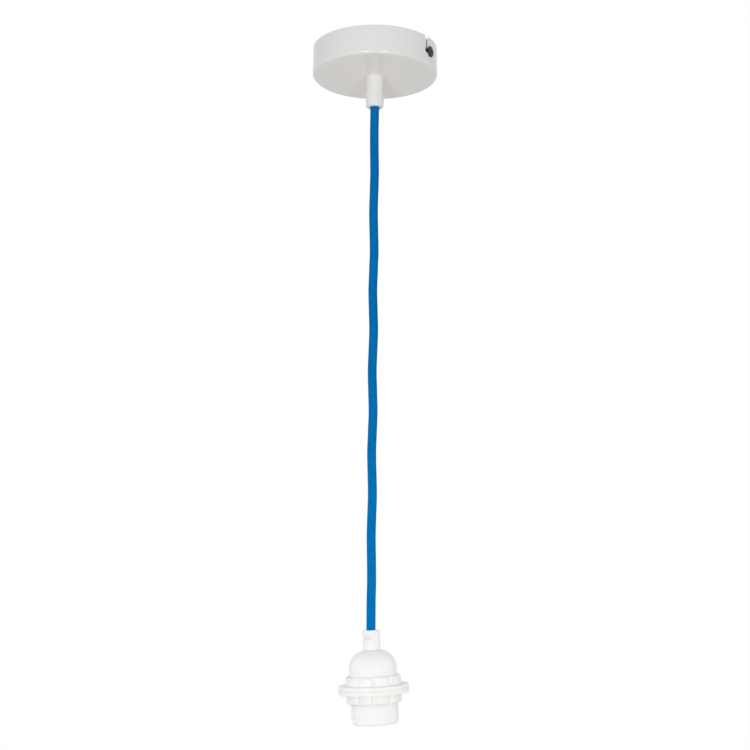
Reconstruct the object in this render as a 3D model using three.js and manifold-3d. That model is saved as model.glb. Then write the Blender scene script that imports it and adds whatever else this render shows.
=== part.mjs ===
// Pendant cord set: a ceiling cup on its bracket, a fabric covered cord and an E27 lampholder
// with two shade rings. Millimetres, +Z up. The origin is the middle of the ceiling plane,
// the cord hangs down from it, and the front of the object looks along -Y.

import * as THREE from 'three';
import { mergeVertices } from 'three/addons/utils/BufferGeometryUtils.js';
import Module from 'manifold-3d';

const wasm = await Module();
wasm.setup();

// Clearances
const seatGap = 0.3;
const cutMargin = 1;

// Ceiling cup
const cupRadius = 55;
const cupHeight = 25;
const cupWall = 1;
const cupCorner = 2.5;

// L-shaped slots in the cup's wall, and the screws that sit in them
const sideScrewAzimuth = 59.5;
const sideScrewDrop = 12.5;
const slotWidth = 4.8;
const slotTurn = 5.5;
const m4Radius = 2;
const sideScrewHeadRadius = 4.75;
const sideScrewHeadHeight = 2.3;
const sideScrewLength = 7;
const sideScrewRoll = 25;

// Shared by the machine screws
const screwChamfer = 0.5;
const driveWidth = 0.9;
const grubChamfer = 0.3;
const grubSlot = 0.7;

// Ceiling bracket, a bent steel strip with a wing for the terminal strip
const bracketThickness = 1.5;
const bracketWidth = 20;
const bracketBend = 2.5;
const earWidth = 12;
const earTaperStart = 43;
const earTaperLength = 6;
const ceilingSlotWidth = 6;
const ceilingSlotStart = 19;
const ceilingSlotEnd = 40;
const wingWidth = 18;
const wingReach = 26;
const wingChamfer = 2;

// Earth screw and its ring lug, placed on the bracket
const earthX = 12.5;
const earthY = -3;
const earthHeadRadius = 3.6;
const earthHeadHeight = 2.4;
const lugRadius = 4.2;
const lugThickness = 0.8;
const lugBarrelRadius = 1.8;
const lugBarrelStart = 4.4;
const lugBarrelLength = 5.6;
const lugNeckWidth = 3;
const lugBoreStart = 1.2;

// Loop of the earth lead, from the lug down past the bracket and back to the terminal strip
const earthLoopReach = 5;
const earthLoopRun = 4;
const earthLoopDrop = 11;

// Terminal strip under the wing
const polePitch = 10;
const poleCount = 3;
const stripDepth = 17;
const stripInset = 6;
const stripCorner = 1.2;
const stripNotchWidth = 1.4;
const stripNotchDepth = 0.8;
const stripBase = 10.2;
const towerHeight = 3.4;
const towerRadius = 3.2;
const towerSpacing = 9;
const poleDrop = 6.2;
const brassRadius = 2.5;
const brassBore = 1.6;
const brassLength = 15;
const clampRadius = 1.5;
const clampLength = 4.4;
const fixingHeadRadius = 2.7;
const fixingHeadHeight = 1.8;

// Cord and what is inside it
const cordDiameter = 7.4;
const sheathRadius = 3;
const coreRadius = 1.1;
const coreSpread = 1.3;
const freeCord = 451.5;
const cordStraight = 6;
const cordSway = 0.5;
const cordQuarterWaves = 25;
const cordSegments = 44;

// Cord grip under the cup
const nippleRadius = 5;
const gripLength = 28;
const gripMouthRadius = 7.9;
const gripMouthEdge = 2;
const gripBaseRadius = 7.7;
const gripNipple = 10;
const gripScrewAzimuth = 200;
const gripScrewDepth = 13;
const lockNutFlats = 14;
const lockNutHeight = 2.5;
const lockNutSides = 6;
const lockNutChamfer = 0.7;
const washerRadius = 8;
const washerThickness = 0.7;
const washerTeeth = 12;
const washerToothDepth = 1.3;

// Cord grip on the lampholder
const holderGripLength = 16;
const holderGripMouthRadius = 7.05;
const holderGripMouthEdge = 0.9;
const holderGripBaseRadius = 7.35;
const holderNipple = 7.8;
const holderGripScrewAzimuth = -23;
const holderGripScrewDepth = 6.3;

// Shared by both grips
const mouthFlare = 0.6;
const gripChamfer = 0.4;
const nippleChamfer = 0.6;
const gripStop = 2;
const gripScrewRadius = 2.6;
const gripScrewSlot = 0.8;
const gripScrewSink = 0.7;

// Lampholder, lengths measured down its own axis from the top of its cord grip
const holderLean = 3.25;
const domeRadius = 19.7;
const domeWall = 2;
const domeShoulder = 14.2;
const domeArcHeight = 13.4;
const domeRimDepth = 38;
const domeEdge = 0.5;
const bossRadius = 8.5;

const barrelRadius = 20;
const barrelRoot = 18.75;
const barrelPitch = 2.5;
const barrelTurns = 13;
const barrelThreadSector = 26;
const barrelThreadTurn = 6;
const barrelThreadSteps = 6;
const barrelThreadStart = 40.9;
const barrelEnd = 75.2;
const barrelLead = 2.1;
const barrelChamfer = 0.9;
const barrelInner = 16.9;
const barrelFloor = 50;
const neckRadius = 17.4;
const neckBore = 14.2;
const neckTop = 31;
const shoulderHeight = 2.2;
const shellEnd = 62;
const shellWall = 1.8;
const lampThreadRadius = 13.4;
const lampThreadDepth = 1.05;
const lampThreadPitch = 3.629;
const lampThreadTurns = 3.6;
const lampThreadStart = 47.2;
const lampMouthChamfer = 0.7;
const threadSink = 0.4;
const innerRibCount = 6;
const innerRibThickness = 1;

// Facets around each turned piece
const cupSides = 52;
const domeSides = 32;
const barrelSides = 30;
const ringSides = 40;
const gripSides = 24;
const smallSides = 12;

// Shade rings, each a flange with a grip collar
const flangeRadius = 29;
const ringClearance = 0.35;
const flangeThickness = 3.4;
const flangeDrop = 6;
const flangeEdge = 0.8;
const collarRadius = 23.05;
const collarHeight = 7.3;
const collarBevel = 1.1;
const notchCount = 10;
const notchRadius = 2.6;
const notchDepth = 1.4;

// Contact insert and its metal parts
const insertTop = 32.7;
const insertBottom = 44.4;
const barrierHeight = 5;
const barrierThickness = 1.2;
const pocketLength = 9;
const pocketWidth = 5;
const pocketCorner = 1.5;
const pocketDepth = 4;
const pocketX = 5;
const pocketY = 9;
const stripMetal = 0.6;
const stripMetalWidth = 5;
const legX = 11.3;
const pillarX = 8;
const pillarSize = 6;
const pillarHeight = 5.3;
const pillarWireDrop = 2.9;
const pillarWireBore = 1.4;
const pillarCorner = 0.6;
const pillarScrewLength = 2.7;
const centreTipDrop = 2.8;

// Values that follow from the ones above
const cordRadius = cordDiameter / 2;
const cordBore = cordRadius + seatGap;
const sheathBore = sheathRadius + seatGap;
const nippleHole = nippleRadius + seatGap;
const m4Hole = m4Radius + seatGap;
const cupInner = cupRadius - cupWall;
const cupFloor = -cupHeight + cupWall;
const earReach = Math.sqrt(cupInner ** 2 - (earWidth / 2) ** 2) - seatGap;
const gripMouthZ = -cupHeight - gripLength;
const nippleTop = -cupHeight + gripNipple;
const sheathTop = nippleTop + 1;
const holderTop = gripMouthZ - freeCord;
const stripTop = -bracketThickness - seatGap;
const stripY = wingReach - stripInset;
const stripBottom = stripTop - stripBase;
const poleZ = stripTop - poleDrop;
const domeCentre = holderGripLength + seatGap + domeArcHeight;
const domeInset = domeRadius - domeShoulder;
const sheathEnd = holderGripLength + holderNipple + 0.8;
const ringBore = barrelRadius + ringClearance;
const flangeTop = domeRimDepth + flangeDrop;
const pillarTop = -insertTop + 2 * seatGap + stripMetal + pillarHeight;
const pillarWireZ = pillarTop - pillarWireDrop;

const degrees = THREE.MathUtils.degToRad;

// Materials
function paint(color, roughness, metalness) {
  return new THREE.MeshStandardMaterial({ color, roughness, metalness });
}

const whitePaint = paint(0xe6e5e1, 0.35, 0.1);
const whitePlastic = paint(0xf2f2f0, 0.4, 0);
const zincSteel = paint(0xb4b6b8, 0.35, 0.9);
const darkSteel = paint(0x2e2f31, 0.4, 0.8);
const brass = paint(0xc9a227, 0.3, 1);
const blueFabric = paint(0x0a76be, 0.85, 0);
const greySheath = paint(0xe8e8e6, 0.5, 0);
const brownCore = paint(0x5a3418, 0.45, 0);
const blueCore = paint(0x2a66b8, 0.45, 0);
const earthCore = paint(0x8fae1c, 0.45, 0);
const clearNylon = paint(0xebebe4, 0.45, 0);
const greyCeramic = paint(0xd9d7cf, 0.6, 0);

// Solids
function closed(geometry) {
  const bare = geometry.clone();
  bare.deleteAttribute('normal');
  bare.deleteAttribute('uv');
  const merged = mergeVertices(bare, 1e-4);
  const index = merged.index.array;
  const kept = [];
  for (let i = 0; i < index.length; i += 3) {
    const [a, b, c] = [index[i], index[i + 1], index[i + 2]];
    if (a !== b && b !== c && c !== a) kept.push(a, b, c);
  }
  merged.setIndex(kept);
  return merged;
}

function toSolid(geometry) {
  const merged = closed(geometry);
  const vertProperties = Float32Array.from(merged.attributes.position.array);
  const triVerts = Uint32Array.from(merged.index.array);
  return new wasm.Manifold(new wasm.Mesh({ numProp: 3, vertProperties, triVerts }));
}

function fromSolid(solid) {
  const { vertProperties, triVerts } = solid.getMesh();
  const geometry = new THREE.BufferGeometry();
  geometry.setAttribute('position', new THREE.BufferAttribute(Float32Array.from(vertProperties), 3));
  geometry.setIndex(Array.from(triVerts));
  geometry.computeVertexNormals();
  return geometry;
}

function join(...geometries) {
  return fromSolid(geometries.map(toSolid).reduce((whole, next) => whole.add(next)));
}

function cut(geometry, ...tools) {
  return fromSolid(tools.map(toSolid).reduce((rest, tool) => rest.subtract(tool), toSolid(geometry)));
}

function common(geometry, other) {
  return fromSolid(toSolid(geometry).intersect(toSolid(other)));
}

// A closed outline of [radius, z] pairs turned about the Z axis. The outline runs upwards on its outside.
function revolve(outline, segments) {
  const points = [...outline, outline[0]].map(([radius, z]) => new THREE.Vector2(radius, z));
  return new THREE.LatheGeometry(points, segments).rotateX(Math.PI / 2);
}

// Points on a stretch of an ellipse, with angles in degrees from the +radius direction.
function arc(centreR, centreZ, radiusR, radiusZ, from, to, steps) {
  return Array.from({ length: steps + 1 }, (_, i) => {
    const angle = degrees(from + ((to - from) * i) / steps);
    return [centreR + radiusR * Math.cos(angle), centreZ + radiusZ * Math.sin(angle)];
  });
}

function rod(radius, low, high, segments = smallSides) {
  const geometry = new THREE.CylinderGeometry(radius, radius, high - low, segments);
  return geometry.rotateX(Math.PI / 2).translate(0, 0, (low + high) / 2);
}

function box(sizeX, sizeY, low, high) {
  return new THREE.BoxGeometry(sizeX, sizeY, high - low).translate(0, 0, (low + high) / 2);
}

function plate(shape, low, high, curveSegments = 6) {
  const depth = high - low;
  const options = { depth, bevelEnabled: false, curveSegments };
  return new THREE.ExtrudeGeometry(shape, options).translate(0, 0, low);
}

function rounded(width, height, radius) {
  const shape = new THREE.Shape();
  const [x, y] = [width / 2 - radius, height / 2 - radius];
  shape.absarc(x, y, radius, 0, Math.PI / 2);
  shape.absarc(-x, y, radius, Math.PI / 2, Math.PI);
  shape.absarc(-x, -y, radius, Math.PI, 1.5 * Math.PI);
  shape.absarc(x, -y, radius, 1.5 * Math.PI, 2 * Math.PI);
  return shape;
}

function polygon(points) {
  return new THREE.Shape(points.map(([x, y]) => new THREE.Vector2(x, y)));
}

// A section of [radius, z] pairs swept along a helix about the Z axis, for screw threads.
function helixRidge(section, pitch, from, to, steps) {
  const positions = [];
  const index = [];
  const count = section.length;
  for (let step = 0; step <= steps; step += 1) {
    const angle = degrees(from + ((to - from) * step) / steps);
    const rise = (pitch * angle) / (2 * Math.PI);
    for (const [radius, z] of section) {
      positions.push(radius * Math.cos(angle), radius * Math.sin(angle), z + rise);
    }
  }
  for (let step = 0; step < steps; step += 1) {
    for (let side = 0; side < count; side += 1) {
      const a = step * count + side;
      const b = step * count + ((side + 1) % count);
      index.push(a, a + count, b, b, a + count, b + count);
    }
  }
  for (let side = 1; side < count - 1; side += 1) {
    const last = steps * count;
    index.push(0, side, side + 1, last, last + side + 1, last + side);
  }
  const geometry = new THREE.BufferGeometry();
  geometry.setAttribute('position', new THREE.Float32BufferAttribute(positions, 3));
  geometry.setIndex(index);
  return geometry;
}

function tube(points, radius, sides, steps) {
  const path = new THREE.CatmullRomCurve3(points.map((point) => new THREE.Vector3(...point)));
  const corners = Array.from({ length: sides }, (_, i) => {
    const angle = (2 * Math.PI * i) / sides;
    return [radius * Math.cos(angle), radius * Math.sin(angle)];
  });
  return new THREE.ExtrudeGeometry(polygon(corners), { steps, extrudePath: path, bevelEnabled: false });
}

function named(name, geometry, material) {
  const mesh = new THREE.Mesh(geometry, material);
  mesh.name = name;
  return mesh;
}

// Ceiling cup: a deep-drawn steel cup with a hole for the cord grip and two L slots
function lSlot() {
  const half = slotWidth / 2;
  const start = -cupRadius * Math.sin(degrees(slotTurn));
  const shape = new THREE.Shape();
  shape.moveTo(start - half, cutMargin);
  shape.lineTo(start - half, -sideScrewDrop);
  shape.absarc(start, -sideScrewDrop, half, Math.PI, 1.5 * Math.PI);
  shape.absarc(0, -sideScrewDrop, half, 1.5 * Math.PI, 2.5 * Math.PI);
  shape.lineTo(start + half, -sideScrewDrop + half);
  shape.lineTo(start + half, cutMargin);
  const geometry = plate(shape, cupInner - cutMargin, cupRadius + cutMargin, 8);
  return geometry.rotateZ(Math.PI / 2).rotateY(Math.PI / 2);
}

function ceilingCup() {
  const [cornerR, cornerZ] = [cupRadius - cupCorner, -cupHeight + cupCorner];
  const innerCorner = cupCorner - cupWall;
  const outline = [
    [nippleHole, -cupHeight],
    ...arc(cornerR, cornerZ, cupCorner, cupCorner, -90, 0, 3),
    [cupRadius, 0],
    [cupInner, 0],
    ...arc(cornerR, cornerZ, innerCorner, innerCorner, 0, -90, 3),
    [nippleHole, cupFloor],
  ];
  const turn = degrees(sideScrewAzimuth - 90);
  const slot = lSlot().rotateZ(turn);
  return cut(revolve(outline, cupSides), slot, slot.clone().rotateZ(Math.PI));
}

// Ceiling bracket
function bracketStrip() {
  const inner = bracketBend - bracketThickness;
  const bendX = earReach - bracketBend;
  const low = -sideScrewDrop - earWidth / 2;
  const shape = new THREE.Shape();
  shape.moveTo(earReach, low);
  shape.absarc(bendX, -bracketBend, bracketBend, 0, Math.PI / 2);
  shape.absarc(-bendX, -bracketBend, bracketBend, Math.PI / 2, Math.PI);
  shape.lineTo(-earReach, low);
  shape.lineTo(-earReach + bracketThickness, low);
  shape.absarc(-bendX, -bracketBend, inner, Math.PI, Math.PI / 2, true);
  shape.absarc(bendX, -bracketBend, inner, Math.PI / 2, 0, true);
  shape.lineTo(earReach - bracketThickness, low);
  const along = plate(shape, -wingReach - cutMargin, bracketWidth / 2 + cutMargin, 4);
  return along.rotateX(Math.PI / 2);
}

function bracketPlan() {
  const half = bracketWidth / 2;
  const ear = earWidth / 2;
  const end = cupRadius;
  const wing = wingWidth / 2;
  const taperEnd = earTaperStart + earTaperLength;
  const corner = wingChamfer;
  return polygon([
    [-end, -ear], [-taperEnd, -ear], [-earTaperStart, -half], [earTaperStart, -half],
    [taperEnd, -ear], [end, -ear], [end, ear], [taperEnd, ear], [earTaperStart, half],
    [wing + corner, half], [wing, half + corner],
    [wing, wingReach - corner], [wing - corner, wingReach],
    [-wing + corner, wingReach], [-wing, wingReach - corner],
    [-wing, half + corner], [-wing - corner, half],
    [-earTaperStart, half], [-taperEnd, ear], [-end, ear],
  ]);
}

function earOutline() {
  const reach = wingReach + cutMargin;
  const half = earWidth / 2;
  const shape = new THREE.Shape();
  shape.moveTo(-reach, cutMargin);
  shape.lineTo(-reach, -bracketBend);
  shape.lineTo(-half, -bracketBend);
  shape.absarc(0, -sideScrewDrop, half, Math.PI, 2 * Math.PI);
  shape.lineTo(half, -bracketBend);
  shape.lineTo(reach, -bracketBend);
  shape.lineTo(reach, cutMargin);
  const across = plate(shape, -cupRadius, cupRadius, 6);
  return across.rotateZ(Math.PI / 2).rotateY(Math.PI / 2);
}

function ceilingBracket() {
  const low = -bracketThickness - cutMargin;
  const planned = common(bracketStrip(), plate(bracketPlan(), -cupHeight, cutMargin));
  const shaped = common(planned, earOutline());
  const slotLength = ceilingSlotEnd - ceilingSlotStart;
  const slotMiddle = (ceilingSlotStart + ceilingSlotEnd) / 2;
  const slot = plate(rounded(slotLength, ceilingSlotWidth, ceilingSlotWidth / 2), low, cutMargin, 5);
  const earHoles = rod(m4Hole, -cupRadius, cupRadius).rotateY(Math.PI / 2).translate(0, 0, -sideScrewDrop);
  return cut(
    shaped,
    slot.clone().translate(slotMiddle, 0, 0),
    slot.clone().translate(-slotMiddle, 0, 0),
    earHoles,
    rod(m4Hole, low, cutMargin).translate(earthX, earthY, 0),
    rod(clampRadius + seatGap, low, cutMargin).translate(polePitch / 2, stripY, 0),
  );
}

// A pan head screw that points along -Z with the seat of its head at z = 0
function panScrew(headRadius, headHeight, shankRadius, length, crossRecess) {
  const crown = headHeight * 0.55;
  const outline = [
    [0, -length],
    [shankRadius - screwChamfer, -length],
    [shankRadius, -length + screwChamfer],
    [shankRadius, 0],
    [headRadius, 0],
    ...arc(0, headHeight - crown, headRadius, crown, 0, 90, 3),
  ];
  const recess = headHeight * 0.65;
  const bar = box(headRadius * 1.1, driveWidth, headHeight - recess, headHeight + cutMargin);
  const slot = box(headRadius * 2.2, driveWidth, headHeight - recess, headHeight + cutMargin);
  const tools = crossRecess ? [bar, bar.clone().rotateZ(Math.PI / 2)] : [slot];
  return cut(revolve(outline, smallSides + 4), ...tools);
}

function sideScrew(turn) {
  const geometry = panScrew(sideScrewHeadRadius, sideScrewHeadHeight, m4Radius, sideScrewLength, true);
  geometry.rotateZ(degrees(sideScrewRoll)).rotateY(Math.PI / 2);
  geometry.translate(cupRadius + seatGap, 0, -sideScrewDrop);
  return geometry.rotateZ(turn);
}

function earthScrew() {
  const seat = -bracketThickness - seatGap - lugThickness - seatGap;
  const length = -seat - seatGap;
  const geometry = panScrew(earthHeadRadius, earthHeadHeight, m4Radius, length, true);
  return geometry.rotateX(Math.PI).translate(earthX, earthY, seat);
}

function earthLug() {
  const top = -bracketThickness - seatGap;
  const low = top - lugThickness;
  const neck = box(lugNeckWidth, lugBarrelStart + lugBoreStart, low, top).translate(0, -lugRadius, 0);
  const barrel = rod(lugBarrelRadius, 0, lugBarrelLength).rotateX(Math.PI / 2);
  const bore = rod(coreRadius + seatGap, lugBoreStart, lugBarrelLength + cutMargin).rotateX(Math.PI / 2);
  const centre = top - lugBarrelRadius;
  const start = -lugBarrelStart;
  const body = join(rod(lugRadius, low, top, smallSides + 4), neck, barrel.translate(0, start, centre));
  const lug = cut(body, rod(m4Hole, low - cutMargin, top + cutMargin), bore.translate(0, start, centre));
  return lug.translate(earthX, earthY, 0);
}

// Terminal strip: a moulded body with a brass tube and two clamp screws for each pole
const poleX = (pole) => (pole - (poleCount - 1) / 2) * polePitch;
const poleYs = [stripY - towerSpacing / 2, stripY + towerSpacing / 2];

function terminalStrip() {
  const width = poleCount * polePitch;
  const outline = rounded(width, stripDepth, stripCorner);
  const base = plate(outline, stripBottom, stripTop, 3).translate(0, stripY, 0);
  const towers = [];
  const tools = [];
  for (let pole = 0; pole < poleCount; pole += 1) {
    const bore = rod(brassRadius + seatGap, -stripDepth, stripDepth).rotateX(Math.PI / 2);
    tools.push(bore.translate(poleX(pole), stripY, poleZ));
    for (const y of poleYs) {
      const bottom = stripBottom - towerHeight;
      towers.push(rod(towerRadius, bottom, stripBottom + cutMargin).translate(poleX(pole), y, 0));
      tools.push(rod(clampRadius + seatGap, bottom - cutMargin, poleZ).translate(poleX(pole), y, 0));
    }
  }
  for (let gap = 0; gap < poleCount - 1; gap += 1) {
    const x = (poleX(gap) + poleX(gap + 1)) / 2;
    for (const side of [-1, 1]) {
      const notch = box(stripNotchWidth, 2 * stripNotchDepth, stripBottom - cutMargin, stripTop + cutMargin);
      tools.push(notch.translate(x, stripY + (side * stripDepth) / 2, 0));
    }
  }
  const fixing = rod(clampRadius + seatGap, stripBottom - cutMargin, stripTop + cutMargin);
  tools.push(fixing.translate(polePitch / 2, stripY, 0));
  return cut(join(base, ...towers), ...tools);
}

function brassTube(pole) {
  const outline = [
    [brassBore, -brassLength / 2],
    [brassRadius, -brassLength / 2],
    [brassRadius, brassLength / 2],
    [brassBore, brassLength / 2],
  ];
  const body = revolve(outline, smallSides).rotateX(Math.PI / 2).translate(poleX(pole), stripY, poleZ);
  const holes = poleYs.map((y) => {
    const hole = rod(clampRadius + seatGap, poleZ - brassRadius - cutMargin, poleZ);
    return hole.translate(poleX(pole), y, 0);
  });
  return cut(body, ...holes);
}

// A headless slotted screw that stands on z = 0, with its slot at the top
function grubScrew(radius, length, slot) {
  const outline = [
    [0, 0],
    [radius - grubChamfer, 0],
    [radius, grubChamfer],
    [radius, length],
    [0, length],
  ];
  const groove = box(radius * 2.5, slot, length - slot * 1.3, length + cutMargin);
  return cut(revolve(outline, smallSides), groove);
}

function clampScrew(pole, y) {
  const geometry = grubScrew(clampRadius, clampLength, grubSlot).rotateX(Math.PI);
  return geometry.translate(poleX(pole), y, poleZ - coreRadius - seatGap);
}

function fixingScrew() {
  const seat = stripBottom - seatGap;
  const geometry = panScrew(fixingHeadRadius, fixingHeadHeight, clampRadius, -seat - seatGap, false);
  return geometry.rotateX(Math.PI).translate(polePitch / 2, stripY, seat);
}

// Cord grip: mouth at z = 0, body up to its length, then the threaded nipple
function cordGrip(length, mouthRadius, mouthEdge, baseRadius, nipple, screwDepth, screwAzimuth) {
  const end = length + nipple;
  const outline = [
    [cordBore + mouthFlare, 0],
    ...arc(mouthRadius - mouthEdge, mouthEdge, mouthEdge, mouthEdge, -90, 0, 4),
    [baseRadius, length - gripChamfer],
    [baseRadius - gripChamfer, length],
    [nippleRadius, length],
    [nippleRadius, end - nippleChamfer],
    [nippleRadius - nippleChamfer, end],
    [sheathBore, end],
    [sheathBore, length - gripStop],
    [cordBore, length - gripStop],
    [cordBore, mouthFlare],
  ];
  const hole = rod(gripScrewRadius + seatGap, sheathRadius, baseRadius + cutMargin);
  hole.rotateY(Math.PI / 2).translate(0, 0, screwDepth).rotateZ(degrees(screwAzimuth - 90));
  return cut(revolve(outline, gripSides), hole);
}

function gripScrew(mouthRadius, screwDepth, screwAzimuth) {
  const length = mouthRadius - gripScrewSink - cordBore;
  const geometry = grubScrew(gripScrewRadius, length, gripScrewSlot).rotateZ(degrees(90));
  geometry.rotateY(Math.PI / 2).translate(cordBore, 0, screwDepth);
  return geometry.rotateZ(degrees(screwAzimuth - 90));
}

function lockNut(low) {
  const high = low + lockNutHeight;
  const corner = lockNutFlats / 2 / Math.cos(Math.PI / lockNutSides);
  const hexagon = polygon(Array.from({ length: lockNutSides }, (_, i) => {
    const angle = (2 * Math.PI * i) / lockNutSides;
    return [corner * Math.cos(angle), corner * Math.sin(angle)];
  }));
  const chamfer = revolve([
    [0, low],
    [corner, low],
    [corner, high - lockNutChamfer],
    [corner - 2 * lockNutChamfer, high],
    [0, high],
  ], gripSides);
  const blank = common(plate(hexagon, low, high), chamfer);
  return cut(blank, rod(nippleHole, low - cutMargin, high + cutMargin, gripSides));
}

function toothedWasher(low) {
  const points = [];
  for (let tooth = 0; tooth < washerTeeth; tooth += 1) {
    const pitch = 360 / washerTeeth;
    const corners = [[0, -washerToothDepth], [0.3, 0], [0.7, 0], [0.85, -washerToothDepth]];
    for (const [part, inset] of corners) {
      const angle = degrees((tooth + part) * pitch);
      points.push([(washerRadius + inset) * Math.cos(angle), (washerRadius + inset) * Math.sin(angle)]);
    }
  }
  const disc = plate(polygon(points), low, low + washerThickness);
  return cut(disc, rod(nippleHole, low - cutMargin, low + washerThickness + cutMargin, gripSides));
}

// Lampholder pieces, with z measured from the top of the holder's cord grip
function domeCap() {
  const inner = domeShoulder - domeWall;
  const innerHeight = domeArcHeight - domeWall;
  const bossInset = Math.asin(Math.sqrt(1 - ((bossRadius - domeInset) / inner) ** 2));
  const outline = [
    [nippleHole, -holderGripLength - holderNipple - seatGap],
    [bossRadius, -holderGripLength - holderNipple - seatGap],
    ...arc(domeInset, -domeCentre, inner, innerHeight, THREE.MathUtils.radToDeg(bossInset), 0, 4),
    [domeRadius - domeWall, -domeRimDepth],
    [domeRadius - domeEdge, -domeRimDepth],
    [domeRadius, -domeRimDepth + domeEdge],
    ...arc(domeInset, -domeCentre, domeShoulder, domeArcHeight, 0, 90, 8),
    [nippleHole, -domeCentre + domeArcHeight],
  ];
  return revolve(outline, domeSides);
}

function threadedBarrel() {
  const shoulder = domeRimDepth + seatGap;
  const ledge = insertBottom + seatGap;
  const shellOuter = lampThreadRadius + shellWall;
  const outline = [
    [barrelInner, -barrelEnd],
    [barrelRoot - barrelChamfer, -barrelEnd],
    [barrelRoot, -barrelEnd + barrelChamfer],
    [barrelRoot, -shoulder - shoulderHeight],
    [domeRadius, -shoulder - shoulderHeight],
    [domeRadius, -shoulder],
    [neckRadius, -shoulder],
    [neckRadius, -neckTop],
    [neckBore, -neckTop],
    [neckBore, -ledge],
    [lampThreadRadius, -ledge],
    [lampThreadRadius, -shellEnd + lampMouthChamfer],
    [lampThreadRadius + lampMouthChamfer, -shellEnd],
    [shellOuter, -shellEnd],
    [shellOuter, -barrelFloor],
    [barrelInner, -barrelFloor],
  ];
  const barrel = revolve(outline, barrelSides);
  const ribWidth = barrelInner - shellOuter + 2 * threadSink;
  const ribs = Array.from({ length: innerRibCount }, (_, i) => {
    const rib = box(ribWidth, innerRibThickness, -shellEnd + innerRibThickness, -barrelFloor + threadSink);
    rib.translate((barrelInner + shellOuter) / 2, 0, 0);
    return rib.rotateZ(degrees((360 * (i + 0.5)) / innerRibCount));
  });
  return join(barrel, ...ribs, ...outerThread(), innerThread());
}

// The barrel's thread is moulded at the two sides only: short helical ridges, front and back smooth
function outerThread() {
  const root = barrelRoot - threadSink;
  const foot = barrelPitch * 0.46;
  const section = [[root, -foot], [barrelRadius, 0], [root, foot]];
  const reach = barrelThreadSector;
  const ridges = [];
  for (let turn = 0; turn < barrelTurns; turn += 1) {
    for (const side of [0, 180]) {
      const z = -barrelThreadStart - (turn + side / 360) * barrelPitch;
      const ridge = helixRidge(section, barrelPitch, -reach, reach, barrelThreadSteps);
      ridges.push(ridge.rotateZ(degrees(side - barrelThreadTurn)).translate(0, 0, z));
    }
  }
  const tip = barrelRoot - barrelChamfer;
  const widest = tip + 2 * (barrelRadius - tip);
  const lead = revolve([
    [0, -barrelEnd],
    [tip, -barrelEnd],
    [widest, -barrelEnd + barrelLead * 2],
    [widest, -domeRimDepth],
    [0, -domeRimDepth],
  ], barrelSides);
  return [common(join(...ridges), lead)];
}

function innerThread() {
  const crestRadius = lampThreadRadius - lampThreadDepth;
  const root = lampThreadRadius + threadSink;
  const foot = lampThreadPitch * 0.35;
  const section = [[root, -foot], [root, foot], [crestRadius, 0]];
  const sweep = 360 * lampThreadTurns;
  const steps = Math.round((lampThreadTurns * barrelSides) / 2);
  const ridge = helixRidge(section, lampThreadPitch, 0, sweep, steps);
  return ridge.translate(0, 0, -lampThreadStart - lampThreadPitch * lampThreadTurns);
}

// Shade ring with its flange's outer face at z = 0 and its collar standing up from it
function shadeRing() {
  const top = flangeThickness + collarHeight;
  const outline = [
    [ringBore, 0],
    [flangeRadius - flangeEdge, 0],
    [flangeRadius, flangeEdge],
    [flangeRadius, flangeThickness - flangeEdge],
    [flangeRadius - flangeEdge, flangeThickness],
    [collarRadius, flangeThickness],
    [collarRadius, top - collarBevel],
    [collarRadius - collarBevel, top],
    [ringBore, top],
  ];
  const notches = Array.from({ length: notchCount }, (_, i) => {
    const groove = rod(notchRadius, flangeThickness, top + cutMargin);
    groove.translate(collarRadius + notchRadius - notchDepth, 0, 0);
    return groove.rotateZ(degrees((360 * i) / notchCount - 90));
  });
  return cut(revolve(outline, ringSides), ...notches);
}

function contactInsert() {
  const radius = neckBore - seatGap;
  const body = rod(radius, -insertBottom, -insertTop, barrelSides);
  const barrier = box(barrierThickness, radius * 1.7, -insertTop - 1, -insertTop + barrierHeight);
  const tools = [];
  for (const side of [-1, 1]) {
    const slot = box(stripMetal + 2 * seatGap, stripMetalWidth + 2 * seatGap, -insertBottom - cutMargin, 0);
    tools.push(slot.translate(side * legX, 0, 0));
    const outline = rounded(pocketLength, pocketWidth, pocketCorner);
    const pocket = plate(outline, -insertTop - pocketDepth, -insertTop + cutMargin, 3);
    tools.push(pocket.clone().translate(side * pocketX, pocketY, 0));
    tools.push(pocket.translate(side * pocketX, -pocketY, 0));
  }
  return cut(join(body, barrier), ...tools);
}

// Bent contact strips: a run of [x, z] points thickened to the metal's gauge
function bentStrip(points) {
  const left = [];
  const right = [];
  points.forEach(([x, z], i) => {
    const [beforeX, beforeZ] = points[Math.max(i - 1, 0)];
    const [afterX, afterZ] = points[Math.min(i + 1, points.length - 1)];
    const before = new THREE.Vector2(x - beforeX, z - beforeZ).normalize();
    const after = new THREE.Vector2(afterX - x, afterZ - z).normalize();
    const along = before.clone().add(after).normalize();
    const reach = stripMetal / 2 / along.dot(i > 0 ? before : after);
    left.push([x - along.y * reach, z + along.x * reach]);
    right.unshift([x + along.y * reach, z - along.x * reach]);
  });
  const half = stripMetalWidth / 2;
  return plate(polygon([...right, ...left]), -half, half).rotateX(Math.PI / 2);
}

function contactPoints(tongue) {
  const tab = -insertTop + seatGap + stripMetal / 2;
  return [[pillarX - pillarSize / 2, tab], [legX, tab], ...tongue];
}

function centreContact() {
  const under = -insertBottom - seatGap - stripMetal / 2;
  const tip = under - centreTipDrop;
  return bentStrip(contactPoints([[legX, under], [4, under], [1.5, tip], [-1.5, tip], [-2.5, tip + 1]]));
}

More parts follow.
